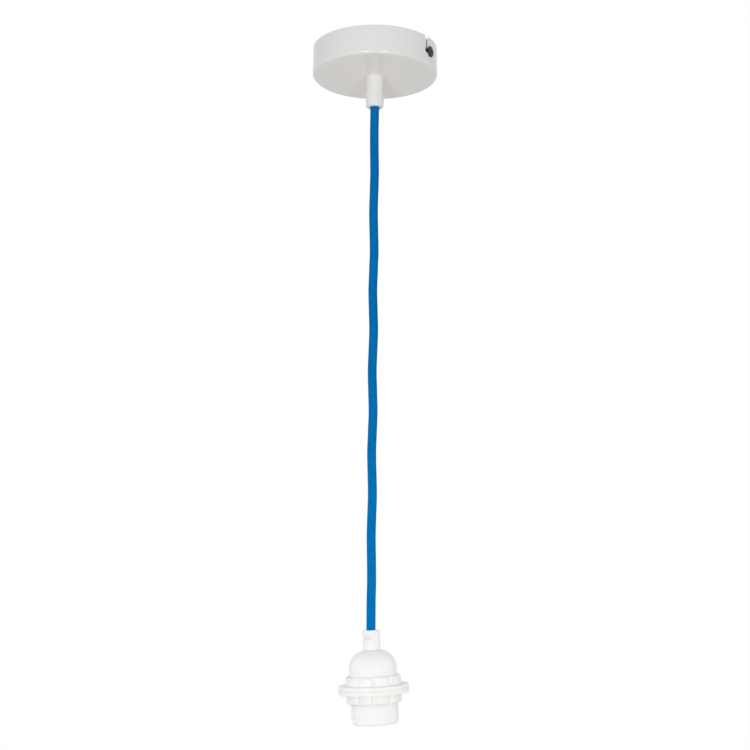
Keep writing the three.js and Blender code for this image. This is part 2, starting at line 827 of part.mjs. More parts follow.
function sideContact() {
  const under = -insertBottom;
  const tongue = [[legX, under - 1.2], [legX - 1.6, under - 3.6], [legX - 0.6, under - 5.4]];
  return bentStrip(contactPoints(tongue)).rotateZ(Math.PI);
}

function pillar(side) {
  const low = pillarTop - pillarHeight;
  const body = plate(rounded(pillarSize, pillarSize, pillarCorner), low, pillarTop, 2);
  const wireHole = rod(pillarWireBore, -pillarSize, pillarSize * 0.3).rotateY(Math.PI / 2);
  const screwHole = rod(clampRadius + seatGap, pillarWireZ, pillarTop + cutMargin);
  const turned = cut(body, wireHole.translate(0, 0, pillarWireZ), screwHole);
  return turned.translate(pillarX, 0, 0).rotateZ(side > 0 ? 0 : Math.PI);
}

function pillarScrew(side) {
  const geometry = grubScrew(clampRadius, pillarScrewLength, grubSlot);
  return geometry.translate(side * pillarX, 0, pillarWireZ + coreRadius + seatGap);
}

// Ceiling side: the cup, and the bracket group turned so that its ears meet the slots
const cordSet = new THREE.Group();
cordSet.add(named('ceiling_cup', ceilingCup(), whitePaint));

const bracketGroup = new THREE.Group();
bracketGroup.rotation.z = degrees(sideScrewAzimuth - 90);
cordSet.add(bracketGroup);
bracketGroup.add(
  named('ceiling_bracket', ceilingBracket(), zincSteel),
  named('side_screw_right', sideScrew(0), darkSteel),
  named('side_screw_left', sideScrew(Math.PI), darkSteel),
  named('earth_screw', earthScrew(), brass),
  named('earth_ring_lug', earthLug(), zincSteel),
  named('terminal_strip', terminalStrip(), clearNylon),
  named('strip_fixing_screw', fixingScrew(), zincSteel),
);
['live', 'neutral', 'earth'].forEach((pole, i) => {
  bracketGroup.add(
    named(`terminal_tube_${pole}`, brassTube(i), brass),
    named(`clamp_screw_${pole}_cord`, clampScrew(i, poleYs[0]), zincSteel),
    named(`clamp_screw_${pole}_mains`, clampScrew(i, poleYs[1]), zincSteel),
  );
});

// Cores from the end of the sheath to the terminal strip, and the bracket's earth lead
const coreStart = sheathTop + 2 * seatGap;
const coreEndY = poleYs[0] + 3;
const coreEntryY = stripY - stripDepth / 2 - seatGap;
const liveX = poleX(0);
const neutralX = poleX(1);
const earthPoleX = poleX(2);
const liveRoute = [
  [-coreSpread, 0, coreStart],
  [-coreSpread - 0.4, 0.4, coreStart + 1.6],
  [liveX * 0.42, coreEntryY * 0.29, poleZ - 0.9],
  [liveX * 0.76, coreEntryY * 0.63, poleZ - 0.1],
  [liveX, coreEntryY, poleZ],
  [liveX, coreEndY, poleZ],
];
const neutralRoute = [
  [coreSpread, 0, coreStart],
  [coreSpread + 0.1, 0.5, coreStart + 1.7],
  [neutralX + 1, coreEntryY * 0.3, poleZ - 0.8],
  [neutralX + 0.3, coreEntryY * 0.66, poleZ],
  [neutralX, coreEntryY, poleZ],
  [neutralX, coreEndY, poleZ],
];
const lugWireZ = -bracketThickness - seatGap - lugBarrelRadius;
const lugWireY = earthY - lugBarrelStart;
const loopY = lugWireY - lugBarrelLength - 1.5;
const earthRoute = [
  [earthX, lugWireY - 1.6, lugWireZ],
  [earthX, loopY, lugWireZ - 0.1],
  [earthX + earthLoopReach * 0.24, loopY - earthLoopRun * 0.92, -earthLoopDrop * 0.55],
  [earthX + earthLoopReach * 0.76, loopY - earthLoopRun, -earthLoopDrop * 0.85],
  [earthX + earthLoopReach, loopY + 0.5, -earthLoopDrop],
  [earthX + earthLoopReach * 0.72, loopY + 8.5, -earthLoopDrop * 0.96],
  [earthX + earthLoopReach * 0.08, coreEntryY * 0.21, -earthLoopDrop * 0.84],
  [earthPoleX + 0.3, coreEntryY * 0.71, poleZ - 0.1],
  [earthPoleX, coreEntryY, poleZ],
  [earthPoleX, coreEndY, poleZ],
];
bracketGroup.add(
  named('core_live_top', tube(liveRoute, coreRadius, 8, 12), brownCore),
  named('core_neutral_top', tube(neutralRoute, coreRadius, 8, 12), blueCore),
  named('earth_lead', tube(earthRoute, coreRadius, 8, 22), earthCore),
);

// Cord grip in the floor of the cup
const upperGrip = new THREE.Group();
upperGrip.position.z = gripMouthZ;
cordSet.add(upperGrip);
const upperGripBody = cordGrip(
  gripLength, gripMouthRadius, gripMouthEdge, gripBaseRadius, gripNipple, gripScrewDepth, gripScrewAzimuth,
);
const upperGripScrew = gripScrew(gripMouthRadius, gripScrewDepth, gripScrewAzimuth);
upperGrip.add(
  named('canopy_cord_grip', upperGripBody, whitePlastic),
  named('canopy_grip_screw', upperGripScrew, whitePlastic),
);
cordSet.add(
  named('toothed_washer', toothedWasher(cupFloor), zincSteel),
  named('lock_nut', lockNut(cupFloor + washerThickness), zincSteel),
);

// Lampholder group, hung on the cord with a slight lean to the right
const holder = new THREE.Group();
holder.position.z = holderTop;
holder.rotation.y = -degrees(holderLean);
cordSet.add(holder);

const holderGripBody = cordGrip(
  holderGripLength, holderGripMouthRadius, holderGripMouthEdge, holderGripBaseRadius, holderNipple,
  holderGripScrewDepth, -holderGripScrewAzimuth + 180,
).rotateX(Math.PI);
const holderGripScrew = gripScrew(
  holderGripMouthRadius, holderGripScrewDepth, -holderGripScrewAzimuth + 180,
).rotateX(Math.PI);
const upperRing = shadeRing().translate(0, 0, -flangeTop - flangeThickness);
const lowerRing = shadeRing().rotateX(Math.PI).translate(0, 0, -flangeTop - flangeThickness - seatGap);
holder.add(
  named('holder_cord_grip', holderGripBody, whitePlastic),
  named('holder_grip_screw', holderGripScrew, whitePlastic),
  named('dome_cap', domeCap(), whitePlastic),
  named('threaded_barrel', threadedBarrel(), whitePlastic),
  named('upper_shade_ring', upperRing, whitePlastic),
  named('lower_shade_ring', lowerRing, whitePlastic),
  named('contact_insert', contactInsert(), greyCeramic),
  named('centre_contact', centreContact(), brass),
  named('side_contact', sideContact(), brass),
  named('terminal_pillar_live', pillar(1), brass),
  named('terminal_pillar_neutral', pillar(-1), brass),
  named('pillar_screw_live', pillarScrew(1), zincSteel),
  named('pillar_screw_neutral', pillarScrew(-1), zincSteel),
);

// Cores inside the lampholder
const holderCoreStart = -sheathEnd - 2 * seatGap;
const holderCoreRoute = [
  [coreSpread, 0, holderCoreStart],
  [coreSpread + 0.5, 0, holderCoreStart - 1.3],
  [3.2, 0, pillarWireZ + 1.1],
  [5.3, 0, pillarWireZ],
  [pillarX + 1, 0, pillarWireZ],
];
const mirrored = holderCoreRoute.map(([x, y, z]) => [-x, y, z]);
holder.add(
  named('core_live_bottom', tube(holderCoreRoute, coreRadius, 8, 10), brownCore),
  named('core_neutral_bottom', tube(mirrored, coreRadius, 8, 10), blueCore),
);

// Inner sheath at both ends, where the fabric is cut back
const upperSheathLow = -cupHeight - gripStop + seatGap;
const sheathStart = holderGripLength - gripStop + seatGap;
cordSet.add(named('inner_sheath_top', rod(sheathRadius, upperSheathLow, sheathTop), greySheath));
holder.add(named('inner_sheath_bottom', rod(sheathRadius, -sheathEnd, -sheathStart), greySheath));

// Fabric covered cord, from inside the upper grip to inside the lampholder's grip. It hangs with a
// slight wave that fades out towards both grips.
function cordRoute() {
  const from = gripMouthZ - cordStraight;
  const to = holderTop + cordStraight;
  const points = [
    [0, 0, -cupHeight - gripStop - seatGap],
    [0, 0, gripMouthZ + gripLength / 2],
    [0, 0, gripMouthZ],
  ];
  for (let i = 0; i <= cordQuarterWaves; i += 1) {
    const part = i / cordQuarterWaves;
    const angle = (Math.PI / 2) * i;
    const sway = cordSway * Math.sqrt(Math.sin(Math.PI * part));
    points.push([-sway * Math.sin(angle), 0.2 * sway * Math.cos(angle), from + (to - from) * part]);
  }
  const depth = holderGripLength - gripStop - seatGap;
  const [across, down] = [Math.sin(degrees(holderLean)), Math.cos(degrees(holderLean))];
  for (const reach of [0, depth * 0.58, depth]) {
    points.push([reach * across, 0, holderTop - reach * down]);
  }
  return points;
}

cordSet.add(named('cord', tube(cordRoute(), cordRadius, 10, cordSegments), blueFabric));

export default cordSet;
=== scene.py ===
from math import acos, ceil, cos, degrees, floor, pi, radians, sin, sqrt, tan

import bmesh
import bpy
from mathutils import Matrix, Vector


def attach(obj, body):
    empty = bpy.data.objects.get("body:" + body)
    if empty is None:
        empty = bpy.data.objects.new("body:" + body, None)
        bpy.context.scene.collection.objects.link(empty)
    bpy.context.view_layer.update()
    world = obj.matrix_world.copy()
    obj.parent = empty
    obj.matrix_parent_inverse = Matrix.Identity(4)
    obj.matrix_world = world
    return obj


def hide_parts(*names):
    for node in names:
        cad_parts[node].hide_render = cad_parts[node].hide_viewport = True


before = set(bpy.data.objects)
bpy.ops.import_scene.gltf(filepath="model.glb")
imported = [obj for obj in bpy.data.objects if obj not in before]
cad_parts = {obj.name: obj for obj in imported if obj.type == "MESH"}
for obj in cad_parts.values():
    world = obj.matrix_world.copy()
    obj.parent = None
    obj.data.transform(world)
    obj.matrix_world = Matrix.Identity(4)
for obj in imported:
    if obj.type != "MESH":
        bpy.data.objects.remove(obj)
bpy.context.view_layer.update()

# Every size of the object is in millimetres and goes to metres where a piece is shown
MM = 0.001
GAP = 0.3
SEAM = 0.04

# Fillets and bevels of edges
FINE_EDGE = 0.1
SEAM_EDGE = 0.12
SMALL_EDGE = 0.2
EDGE = 0.3
SOFT_EDGE = 0.4
ROUND_EDGE = 0.5

# How far a tool reaches past the face that it cuts, and how deep one goes that cuts through a wall
OVERCUT = 1
THROUGH = 4

# Camera: its place and clipping in metres, its angles in degrees
CAMERA_PLACE = (0.0019, -1.0645, -0.4477)
CAMERA_PITCH = 8.38
CAMERA_ROLL = 0.4
CAMERA_LENS = 60.53
CAMERA_SENSOR = 36
CAMERA_NEAR = 0.01
CAMERA_FAR = 50

# Ceiling side
CUP_RADIUS = 55
CUP_HEIGHT = 25
CUP_WALL = 1
CUP_CORNER = 2.5
SCREW_AZIMUTH = 59.5
SCREW_DROP = 12.5
SLOT_WIDTH = 4.8
SLOT_TURN = 5.5
SLOT_INNER_FILLET = 0.8
M4_RADIUS = 2
M4_PITCH = 0.7
SIDE_HEAD_RADIUS = 4.75
SIDE_HEAD_HEIGHT = 1.5
SIDE_SCREW_LENGTH = 7
SIDE_SCREW_TURN = 25
BRACKET_THICKNESS = 1.5
BRACKET_WIDTH = 20
BRACKET_BEND = 2.5
EAR_WIDTH = 12
EAR_REACH = sqrt((CUP_RADIUS - CUP_WALL) ** 2 - (EAR_WIDTH / 2) ** 2) - GAP
EAR_TAPER = 43
EAR_TAPER_SLOPE = 1.5
BRACKET_FILLET = 3
BRACKET_EDGE = 0.18
CEILING_SLOT_WIDTH = 6
CEILING_SLOT_LENGTH = 21
CEILING_SLOT_MIDDLE = 29.5
WING_WIDTH = 18
WING_REACH = 26
WING_FILLET = 2
EARTH_PLACE = (12.5, -3)
EARTH_HEAD_RADIUS = 3.6
EARTH_HEAD_HEIGHT = 2.4
LUG_RADIUS = 4.2
LUG_THICKNESS = 0.8
LUG_BARREL_RADIUS = 1.8
LUG_BARREL_START = 4.4
LUG_BARREL_LENGTH = 5.6
LUG_NECK_WIDTH = 3
LUG_NECK_MIDDLE = 3.6
LOOP_REACH = 5
LOOP_RUN = 4
LOOP_DROP = 11

# Terminal strip
POLE_PITCH = 10
POLES = ("live", "neutral", "earth")
STRIP_DEPTH = 17
STRIP_Y = 20
STRIP_TOP = -1.8
STRIP_BOTTOM = -12
TOWER_HEIGHT = 3.4
TOWER_RADIUS = 3.2
TOWER_SPACING = 9
TOWER_DRAFT = 0.2
STRIP_FILLET = 1.2
STRIP_NOTCH = (1.4, 1.6)
POLE_Z = -8
TUBE_RADIUS = 2.5
TUBE_BORE = 1.6
TUBE_LENGTH = 15
TUBE_EDGE = 0.15
M3_RADIUS = 1.5
M3_PITCH = 0.5
CLAMP_LENGTH = 4.4
CLAMP_TURN = 17
CLAMP_TURN_STEP = 40
FIXING_HEAD_RADIUS = 2.7
FIXING_HEAD_HEIGHT = 1.8

# Cord, grips and what joins them
CORD_DIAMETER = 7.4
SHEATH_RADIUS = 3
SHEATH_EDGE = 0.35
SHEATH_PAST_TOP = 1
SHEATH_PAST_BOTTOM = 0.8
CORE_RADIUS = 1.1
CORE_SPACING = 0.6
NIPPLE_RADIUS = 5
NIPPLE_PITCH = 1
NIPPLE_POINT = (0.6, 0.5)
GRIP_MOUTH_Z = -53
GRIP_LENGTH = 28
GRIP_MOUTH_RADIUS = 7.9
GRIP_MOUTH_EDGE = 2
GRIP_BASE_RADIUS = 7.7
GRIP_NIPPLE = 10
GRIP_SCREW_AZIMUTH = 200
GRIP_SCREW_DEPTH = 13
HOLDER_GRIP_LENGTH = 16
HOLDER_GRIP_MOUTH_RADIUS = 7.05
HOLDER_GRIP_MOUTH_EDGE = 0.9
HOLDER_GRIP_BASE_RADIUS = 7.35
HOLDER_NIPPLE = 7.8
HOLDER_SCREW_AZIMUTH = -23
HOLDER_SCREW_DEPTH = 6.3
MOUTH_FLARE = 0.6
GRIP_STOP = 2
GRIP_SCREW_RADIUS = 2.6
GRIP_SCREW_SUNK = 0.35
GRIP_SCREW_SLOT = 0.8
NUT_FLATS = 14
NUT_HEIGHT = 2.5
NUT_BEVEL = (1.4, 0.7)
WASHER_RADIUS = 8
WASHER_ROOT = 6.7
WASHER_THICKNESS = 0.7
WASHER_TEETH = 12
TOOTH_HALF = 0.24
TOOTH_FLANK = 0.16

# Lampholder, with z measured from the top of its cord grip
HOLDER_TOP = -504.5
HOLDER_LEAN = 3.25
DOME_RADIUS = 19.7
DOME_WALL = 2
DOME_SHOULDER = 14.2
DOME_ARC = 13.4
DOME_RIM = 38
BOSS_RADIUS = 8.5
BARREL_RADIUS = 20
BARREL_ROOT = 18.75
BARREL_PITCH = 2.5
BARREL_SECTOR = 26
BARREL_SECTOR_FADE = 5
BARREL_TURN = 6
BARREL_START = 40.9
BARREL_END = 75.2
BARREL_BEVEL = 0.9
BARREL_THREAD_END = 1.2
BARREL_INNER = 16.9
BARREL_FLOOR = 50
NECK_RADIUS = 17.4
NECK_BORE = 14.2
NECK_TOP = 31
SHOULDER_HEIGHT = 2.2
SHELL_END = 62
SHELL_WALL = 1.8
LAMP_RADIUS = 13.4
LAMP_DEPTH = 1.05
LAMP_PITCH = 3.629
LAMP_TURNS = 3.6
LAMP_START = 47.2
LAMP_THREAD_END = 0.6
RIB_COUNT = 6
RIB_THICKNESS = 1
RIB_SUNK = 0.3
RIB_ENDS = (1.5, 0.5)
RIB_TURN = 30
FLANGE_RADIUS = 29
FLANGE_THICKNESS = 3.4
FLANGE_TOP = 44
FLANGE_EDGE = 0.8
COLLAR_RADIUS = 23.05
COLLAR_HEIGHT = 7.3
COLLAR_BEVEL = 1.1
RING_BORE = 20.35
NOTCH_COUNT = 10
NOTCH_RADIUS = 2.6
NOTCH_DEPTH = 1.4
NOTCH_SOFTNESS = 0.25
RING_LIP = 1
RING_THREAD_END = 1.4
INSERT_TOP = 32.7
INSERT_BOTTOM = 44.4
BARRIER_HEIGHT = 5
BARRIER_THICKNESS = 1.2
BARRIER_SPAN = 1.7
BARRIER_EDGE = 0.25
POCKET_SIZE = (9, 5)
POCKET_PLACE = (5, 9)
POCKET_DEPTH = 4
POCKET_FILLET = 1.5
METAL = 0.6
METAL_WIDTH = 5
METAL_BEND = 0.45
LEG_X = 11.3
TIP_DROP = 2.8
PILLAR_X = 8
PILLAR_SIZE = 6
PILLAR_HEIGHT = 5.3
PILLAR_FILLET = 0.6
PILLAR_SCREW_LENGTH = 2.7
PILLAR_WIRE_DROP = 2.9
PILLAR_WIRE_BORE = 1.4
PILLAR_WIRE_SHARE = 0.3
PILLAR_SCREW_TURN = 30


# Places

def turn(angle, axis="Z"):
    return Matrix.Rotation(radians(angle), 4, axis)


def shift(x, y, z):
    return Matrix.Translation((x, y, z))


def placed(data, name="blank"):
    """Puts a mesh, a lamp's or a camera's data into the scene as an object."""
    made = bpy.data.objects.new(name, data)
    bpy.context.scene.collection.objects.link(made)
    return made


UPRIGHT = Matrix.Identity(4)
BRACKET = turn(SCREW_AZIMUTH - 90)
HOLDER = shift(0, 0, HOLDER_TOP) @ turn(-HOLDER_LEAN, "Y")


def set_camera():
    data = bpy.data.cameras.new("camera")
    data.lens = CAMERA_LENS
    data.sensor_width = CAMERA_SENSOR
    data.clip_start = CAMERA_NEAR
    data.clip_end = CAMERA_FAR
    camera = placed(data, "camera")
    tilt = turn(90 + CAMERA_PITCH, "X") @ turn(CAMERA_ROLL)
    camera.matrix_world = shift(*CAMERA_PLACE) @ tilt
    bpy.context.scene.camera = camera


set_camera()


# Meshes in millimetres

def meshed(shape):
    bmesh.ops.recalc_face_normals(shape, faces=shape.faces)
    mesh = bpy.data.meshes.new("mesh")
    shape.to_mesh(mesh)
    shape.free()
    return mesh


def moved(mesh, *places):
    for place in places:
        mesh.transform(place)
    return mesh


def fillets(corners, closed=True, step=15):
    """An outline through (x, y) or (x, y, fillet) corners, with each fillet as an arc."""
    line = []
    for i, corner in enumerate(corners):
        here = Vector(corner[:2])
        if len(corner) < 3 or (not closed and i in (0, len(corners) - 1)):
            line.append(tuple(here))
            continue
        back = (Vector(corners[i - 1][:2]) - here).normalized()
        ahead = (Vector(corners[(i + 1) % len(corners)][:2]) - here).normalized()
        half = back.angle(ahead) / 2
        centre = here + (back + ahead).normalized() * corner[2] / sin(half)
        first = here + back * corner[2] / tan(half) - centre
        last = here + ahead * corner[2] / tan(half) - centre
        bend = pi - 2 * half
        count = max(2, ceil(degrees(bend) / step))
        for k in range(count + 1):
            part = bend * k / count
            spoke = (first * sin(bend - part) + last * sin(part)) / sin(bend)
            line.append(tuple(centre + spoke))
    return line


def arc(centre, radii, first, last, count):
    """Points on a stretch of an ellipse, with angles in degrees."""
    angles = [radians(first + (last - first) * k / count) for k in range(count + 1)]
    return [(centre[0] + radii[0] * cos(a), centre[1] + radii[1] * sin(a)) for a in angles]


def dense(outline, spacing):
    """The closed outline with points added, so that no two are further apart than the spacing."""
    line = []
    for start, end in zip(outline, [*outline[1:], outline[0]]):
        start, end = Vector(start), Vector(end)
        count = max(1, ceil((end - start).length / spacing - 0.01))
        line.extend(tuple(start.lerp(end, k / count)) for k in range(count))
    return line


def turned(outline, sides, *reliefs):
    """A closed outline of (radius, z) turned about Z. Each relief gives a radial shift at a point."""
    shape = bmesh.new()
    rows = []
    for k in range(sides):
        angle = 2 * pi * k / sides
        row = []
        for radius, z in outline:
            reach = radius + sum(relief(radius, z, angle) for relief in reliefs)
            row.append(shape.verts.new((reach * cos(angle), reach * sin(angle), z)))
        rows.append(row)
    for row, after in zip(rows, [*rows[1:], rows[0]]):
        for i in range(len(outline)):
            j = (i + 1) % len(outline)
            if max(outline[i][0], outline[j][0]) > 1e-6:
                shape.faces.new((row[i], after[i], after[j], row[j]))
    bmesh.ops.remove_doubles(shape, verts=shape.verts, dist=1e-5)
    return meshed(shape)


def sleeve(bore, radius, low, high, bore_edge, sides):
    """A plain tube with softened edges."""
    return turned(fillets([
        (bore, low, bore_edge), (radius, low, SMALL_EDGE),
        (radius, high, SMALL_EDGE), (bore, high, bore_edge),
    ]), sides)


def rod(radius, low, high, sides=48):
    return turned([(0, low), (radius, low), (radius, high), (0, high)], sides)


def loft(bottom, top, low, high):
    """A solid between two flat outlines of (x, y) with the same number of corners."""
    shape = bmesh.new()
    lower = [shape.verts.new((x, y, low)) for x, y in bottom]
    upper = [shape.verts.new((x, y, high)) for x, y in top]
    shape.faces.new(reversed(lower))
    shape.faces.new(upper)
    for i in range(len(lower)):
        j = (i + 1) % len(lower)
        shape.faces.new((lower[i], lower[j], upper[j], upper[i]))
    return meshed(shape)


def slab(outline, low, high):
    return loft(outline, outline, low, high)


def rectangle(width, depth):
    x, y = width / 2, depth / 2
    return [(x, y), (-x, y), (-x, -y), (x, -y)]


def block(width, depth, low, high, fillet=0.0):
    corners = rectangle(width, depth)
    if fillet:
        corners = fillets([(*corner, fillet) for corner in corners])
    return slab(corners, low, high)


def wedge(top, bottom, low, high):
    """A block whose top and bottom have different sizes."""
    return loft(rectangle(*bottom), rectangle(*top), low, high)


def evaluated(body, helpers=()):
    bpy.context.view_layer.update()
    result = bpy.data.meshes.new_from_object(body.evaluated_get(bpy.context.evaluated_depsgraph_get()))
    for item in (body, *helpers):
        bpy.data.objects.remove(item)
    return result


def combined(operation, mesh, *tools):
    body = placed(mesh)
    helpers = [placed(tool) for tool in tools]
    for helper in helpers:
        modifier = body.modifiers.new("combine", "BOOLEAN")
        modifier.operation = operation
        modifier.solver = "EXACT"
        modifier.object = helper
    return evaluated(body, helpers)


def cut(mesh, *tools):
    return combined("DIFFERENCE", mesh, *tools)


def join(mesh, *tools):
    return combined("UNION", mesh, *tools)


def softened(mesh, width, segments=2):
    body = placed(mesh)
    modifier = body.modifiers.new("soften", "BEVEL")
    modifier.width = width
    modifier.segments = segments
    modifier.limit_method = "ANGLE"
    modifier.angle_limit = radians(35)
    return evaluated(body)


def show(name, slot, mesh, place, *replaced, crease=32):
    """Puts a mesh in its place as a piece of the object, in place of the named CAD nodes."""
    mesh.transform(Matrix.Scale(MM, 4) @ place)
    mesh.shade_smooth()
    mesh.set_sharp_from_angle(angle=radians(crease))
    made = placed(mesh, name)
    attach(made, "root")
    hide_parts(*replaced)
    mesh.materials.append(SURFACES[slot])
    return made


# Screw threads as reliefs

THREAD_FLAT = 0.12
THREAD_RUNOUT = 0.6
THREAD_DEPTH = 0.55
GRUB_THREAD_DEPTH = 0.5
WALL_TOLERANCE = 0.02


def eased(level):
    """The level held between 0 and 1, with a soft start and end."""
    level = min(1, max(0, level))
    return level * level * (3 - 2 * level)


def thread_wave(phase):
    """Height of a thread from 0 at its root to 1 at its crest, with the crest at whole phases."""
    flank = abs((phase % 1) * 2 - 1)
    return eased((flank - THREAD_FLAT) / (1 - 2 * THREAD_FLAT))


def thread(radius, low, high, pitch, depth, phase=0.0, window=None):
    """A relief that raises (or with a negative depth sinks) a thread on the wall at a radius."""
    runout = pitch * THREAD_RUNOUT

    def relief(at, z, angle):
        if abs(at - radius) > WALL_TOLERANCE or not low <= z <= high:
            return 0.0
        fade = min(1, (z - low) / runout, (high - z) / runout)
        level = thread_wave((z - phase) / pitch - angle / (2 * pi))
        return depth * level * max(fade, 0) * (window(angle) if window else 1)
    return relief


# Surfaces

SURFACES = {}


def material(name):
    made = bpy.data.materials.new(name)
    made.use_nodes = True
    tree = made.node_tree
    tree.nodes.clear()
    shader = tree.nodes.new("ShaderNodeBsdfPrincipled")
    output = tree.nodes.new("ShaderNodeOutputMaterial")
    tree.links.new(shader.outputs["BSDF"], output.inputs["Surface"])
    SURFACES[name] = made
    return tree, shader


def node(tree, kind, values=None, **inputs):
    """Adds a node; inputs are numbers, colours or the output of another node."""
    made = tree.nodes.new("ShaderNode" + kind)
    for key, value in (values or {}).items():
        setattr(made, key, value)
    for key, value in inputs.items():
        socket = made.inputs[int(key[1:])] if key[0] == "_" else made.inputs[key.replace("_", " ")]
        if isinstance(value, bpy.types.NodeSocket):
            tree.links.new(value, socket)
        else:
            socket.default_value = value
    return made


def calculator(tree):
    """A function that adds Math nodes to the tree. Its values are numbers or outputs of nodes."""
    def calc(operation, *values):
        inputs = {f"_{i}": value for i, value in enumerate(values)}
        return node(tree, "Math", {"operation": operation}, **inputs).outputs[0]
    return calc


def grain(tree, scale, detail=2.0):
    """Noise in the piece's own place, with its scale per metre."""
    place = node(tree, "TexCoord").outputs["Object"]
    return node(tree, "TexNoise", Vector=place, Scale=scale, Detail=detail).outputs["Fac"]


def ramp(tree, value, low, high):
    """Spreads noise, which mostly lies between 0.3 and 0.7, from low to high."""
    spread = node(tree, "MapRange", Value=value)
    spread.inputs["From Min"].default_value = 0.3
    spread.inputs["From Max"].default_value = 0.7
    spread.inputs["To Min"].default_value = low
    spread.inputs["To Max"].default_value = high
    return spread.outputs["Result"]


def blend(tree, value, first, second):
    mixed = node(tree, "Mix", {"data_type": "RGBA"})
    tree.links.new(value, mixed.inputs["Factor"])
    mixed.inputs[6].default_value = (*first, 1)
    mixed.inputs[7].default_value = (*second, 1)
    return mixed.outputs[2]


def dress(tree, shader, tint, roughness, height, depth):
    """Gives a shader its colour, its roughness and its relief, with the depth in millimetres."""
    relief = node(tree, "Bump", Height=height, Distance=depth * MM, Strength=1.0)
    tree.links.new(tint, shader.inputs["Base Color"])
    tree.links.new(roughness, shader.inputs["Roughness"])
    tree.links.new(relief.outputs["Normal"], shader.inputs["Normal"])


def simple(name, first, second, tint_scale, roughness, rough_scale, grain_scale, grain_depth, **values):
    """A surface with two close tints, uneven gloss and a fine grain."""
    tree, shader = material(name)
    tint = blend(tree, grain(tree, tint_scale, 3), first, second)
    gloss = ramp(tree, grain(tree, rough_scale, 4), *roughness)
    dress(tree, shader, tint, gloss, grain(tree, grain_scale, 2), grain_depth)
    for key, value in values.items():
        shader.inputs[key.replace("_", " ")].default_value = value


simple(
    "white_paint", (0.86, 0.845, 0.83), (0.87, 0.855, 0.84), 60,
    (0.05, 0.07), 300, 1100, 0.0001, Specular_IOR_Level=0.7,
)
simple(
    "white_plastic", (0.895, 0.885, 0.875), (0.905, 0.895, 0.885), 90,
    (0.3, 0.36), 500, 2600, 0.0008, Specular_IOR_Level=0.25,
    Subsurface_Weight=0.35, Subsurface_Scale=0.001, Subsurface_Radius=(1, 1, 1),
)
simple(
    "zinc_steel", (0.55, 0.56, 0.57), (0.68, 0.69, 0.7), 140,
    (0.26, 0.46), 700, 1800, 0.01, Metallic=1.0,
)
simple(
    "dark_steel", (0.02, 0.02, 0.022), (0.08, 0.08, 0.083), 600,
    (0.3, 0.5), 900, 2500, 0.01, Metallic=1.0,
)
simple(
    "brass", (0.68, 0.47, 0.17), (0.78, 0.58, 0.25), 180,
    (0.2, 0.36), 800, 2200, 0.008, Metallic=1.0,
)
simple(
    "white_sheath", (0.78, 0.78, 0.76), (0.83, 0.83, 0.81), 200,
    (0.45, 0.6), 600, 1500, 0.02,
)
simple(
    "brown_core", (0.12, 0.04, 0.015), (0.17, 0.062, 0.025), 250,
    (0.3, 0.42), 600, 1500, 0.01,
)
simple(
    "blue_core", (0.015, 0.11, 0.42), (0.03, 0.15, 0.5), 250,
    (0.3, 0.42), 600, 1500, 0.01,
)
simple(
    "strip_nylon", (0.76, 0.76, 0.7), (0.82, 0.82, 0.76), 120,
    (0.35, 0.5), 500, 1400, 0.01, Subsurface_Weight=0.3, Subsurface_Scale=0.002,
)
simple(
    "insert_ceramic", (0.66, 0.64, 0.58), (0.74, 0.72, 0.66), 500,
    (0.5, 0.7), 900, 1800, 0.03,
)

EARTH_STRIPE_PITCH = 22
EARTH_STRIPE_HALF = 0.17
EARTH_GREEN = (0.03, 0.24, 0.05)
EARTH_YELLOW = (0.75, 0.58, 0.02)


def earth_surface():
    """Green with a yellow stripe that winds round the lead."""
    tree, shader = material("earth_core")
    calc = calculator(tree)
    split = node(tree, "SeparateXYZ", Vector=node(tree, "UVMap").outputs["UV"])
    around = calc("DIVIDE", split.outputs["X"], 2 * pi * CORE_RADIUS)
    along = calc("DIVIDE", split.outputs["Y"], EARTH_STRIPE_PITCH)
    off = calc("PINGPONG", calc("FRACT", calc("ADD", around, along)), 0.5)
    tint = blend(tree, calc("LESS_THAN", off, EARTH_STRIPE_HALF), EARTH_GREEN, EARTH_YELLOW)
    dress(tree, shader, tint, ramp(tree, grain(tree, 600), 0.3, 0.42), grain(tree, 1500), 0.01)


BRAID_STRANDS = 14
BRAID_PITCH = 1.9
YARNS_IN_STRAND = 4
# The blue runs from dark to light by random tone and by painted shade in the braid's hollows
FABRIC_DARK = (0.0004, 0.08, 0.28)
FABRIC_LIGHT = (0.001, 0.23, 0.62)


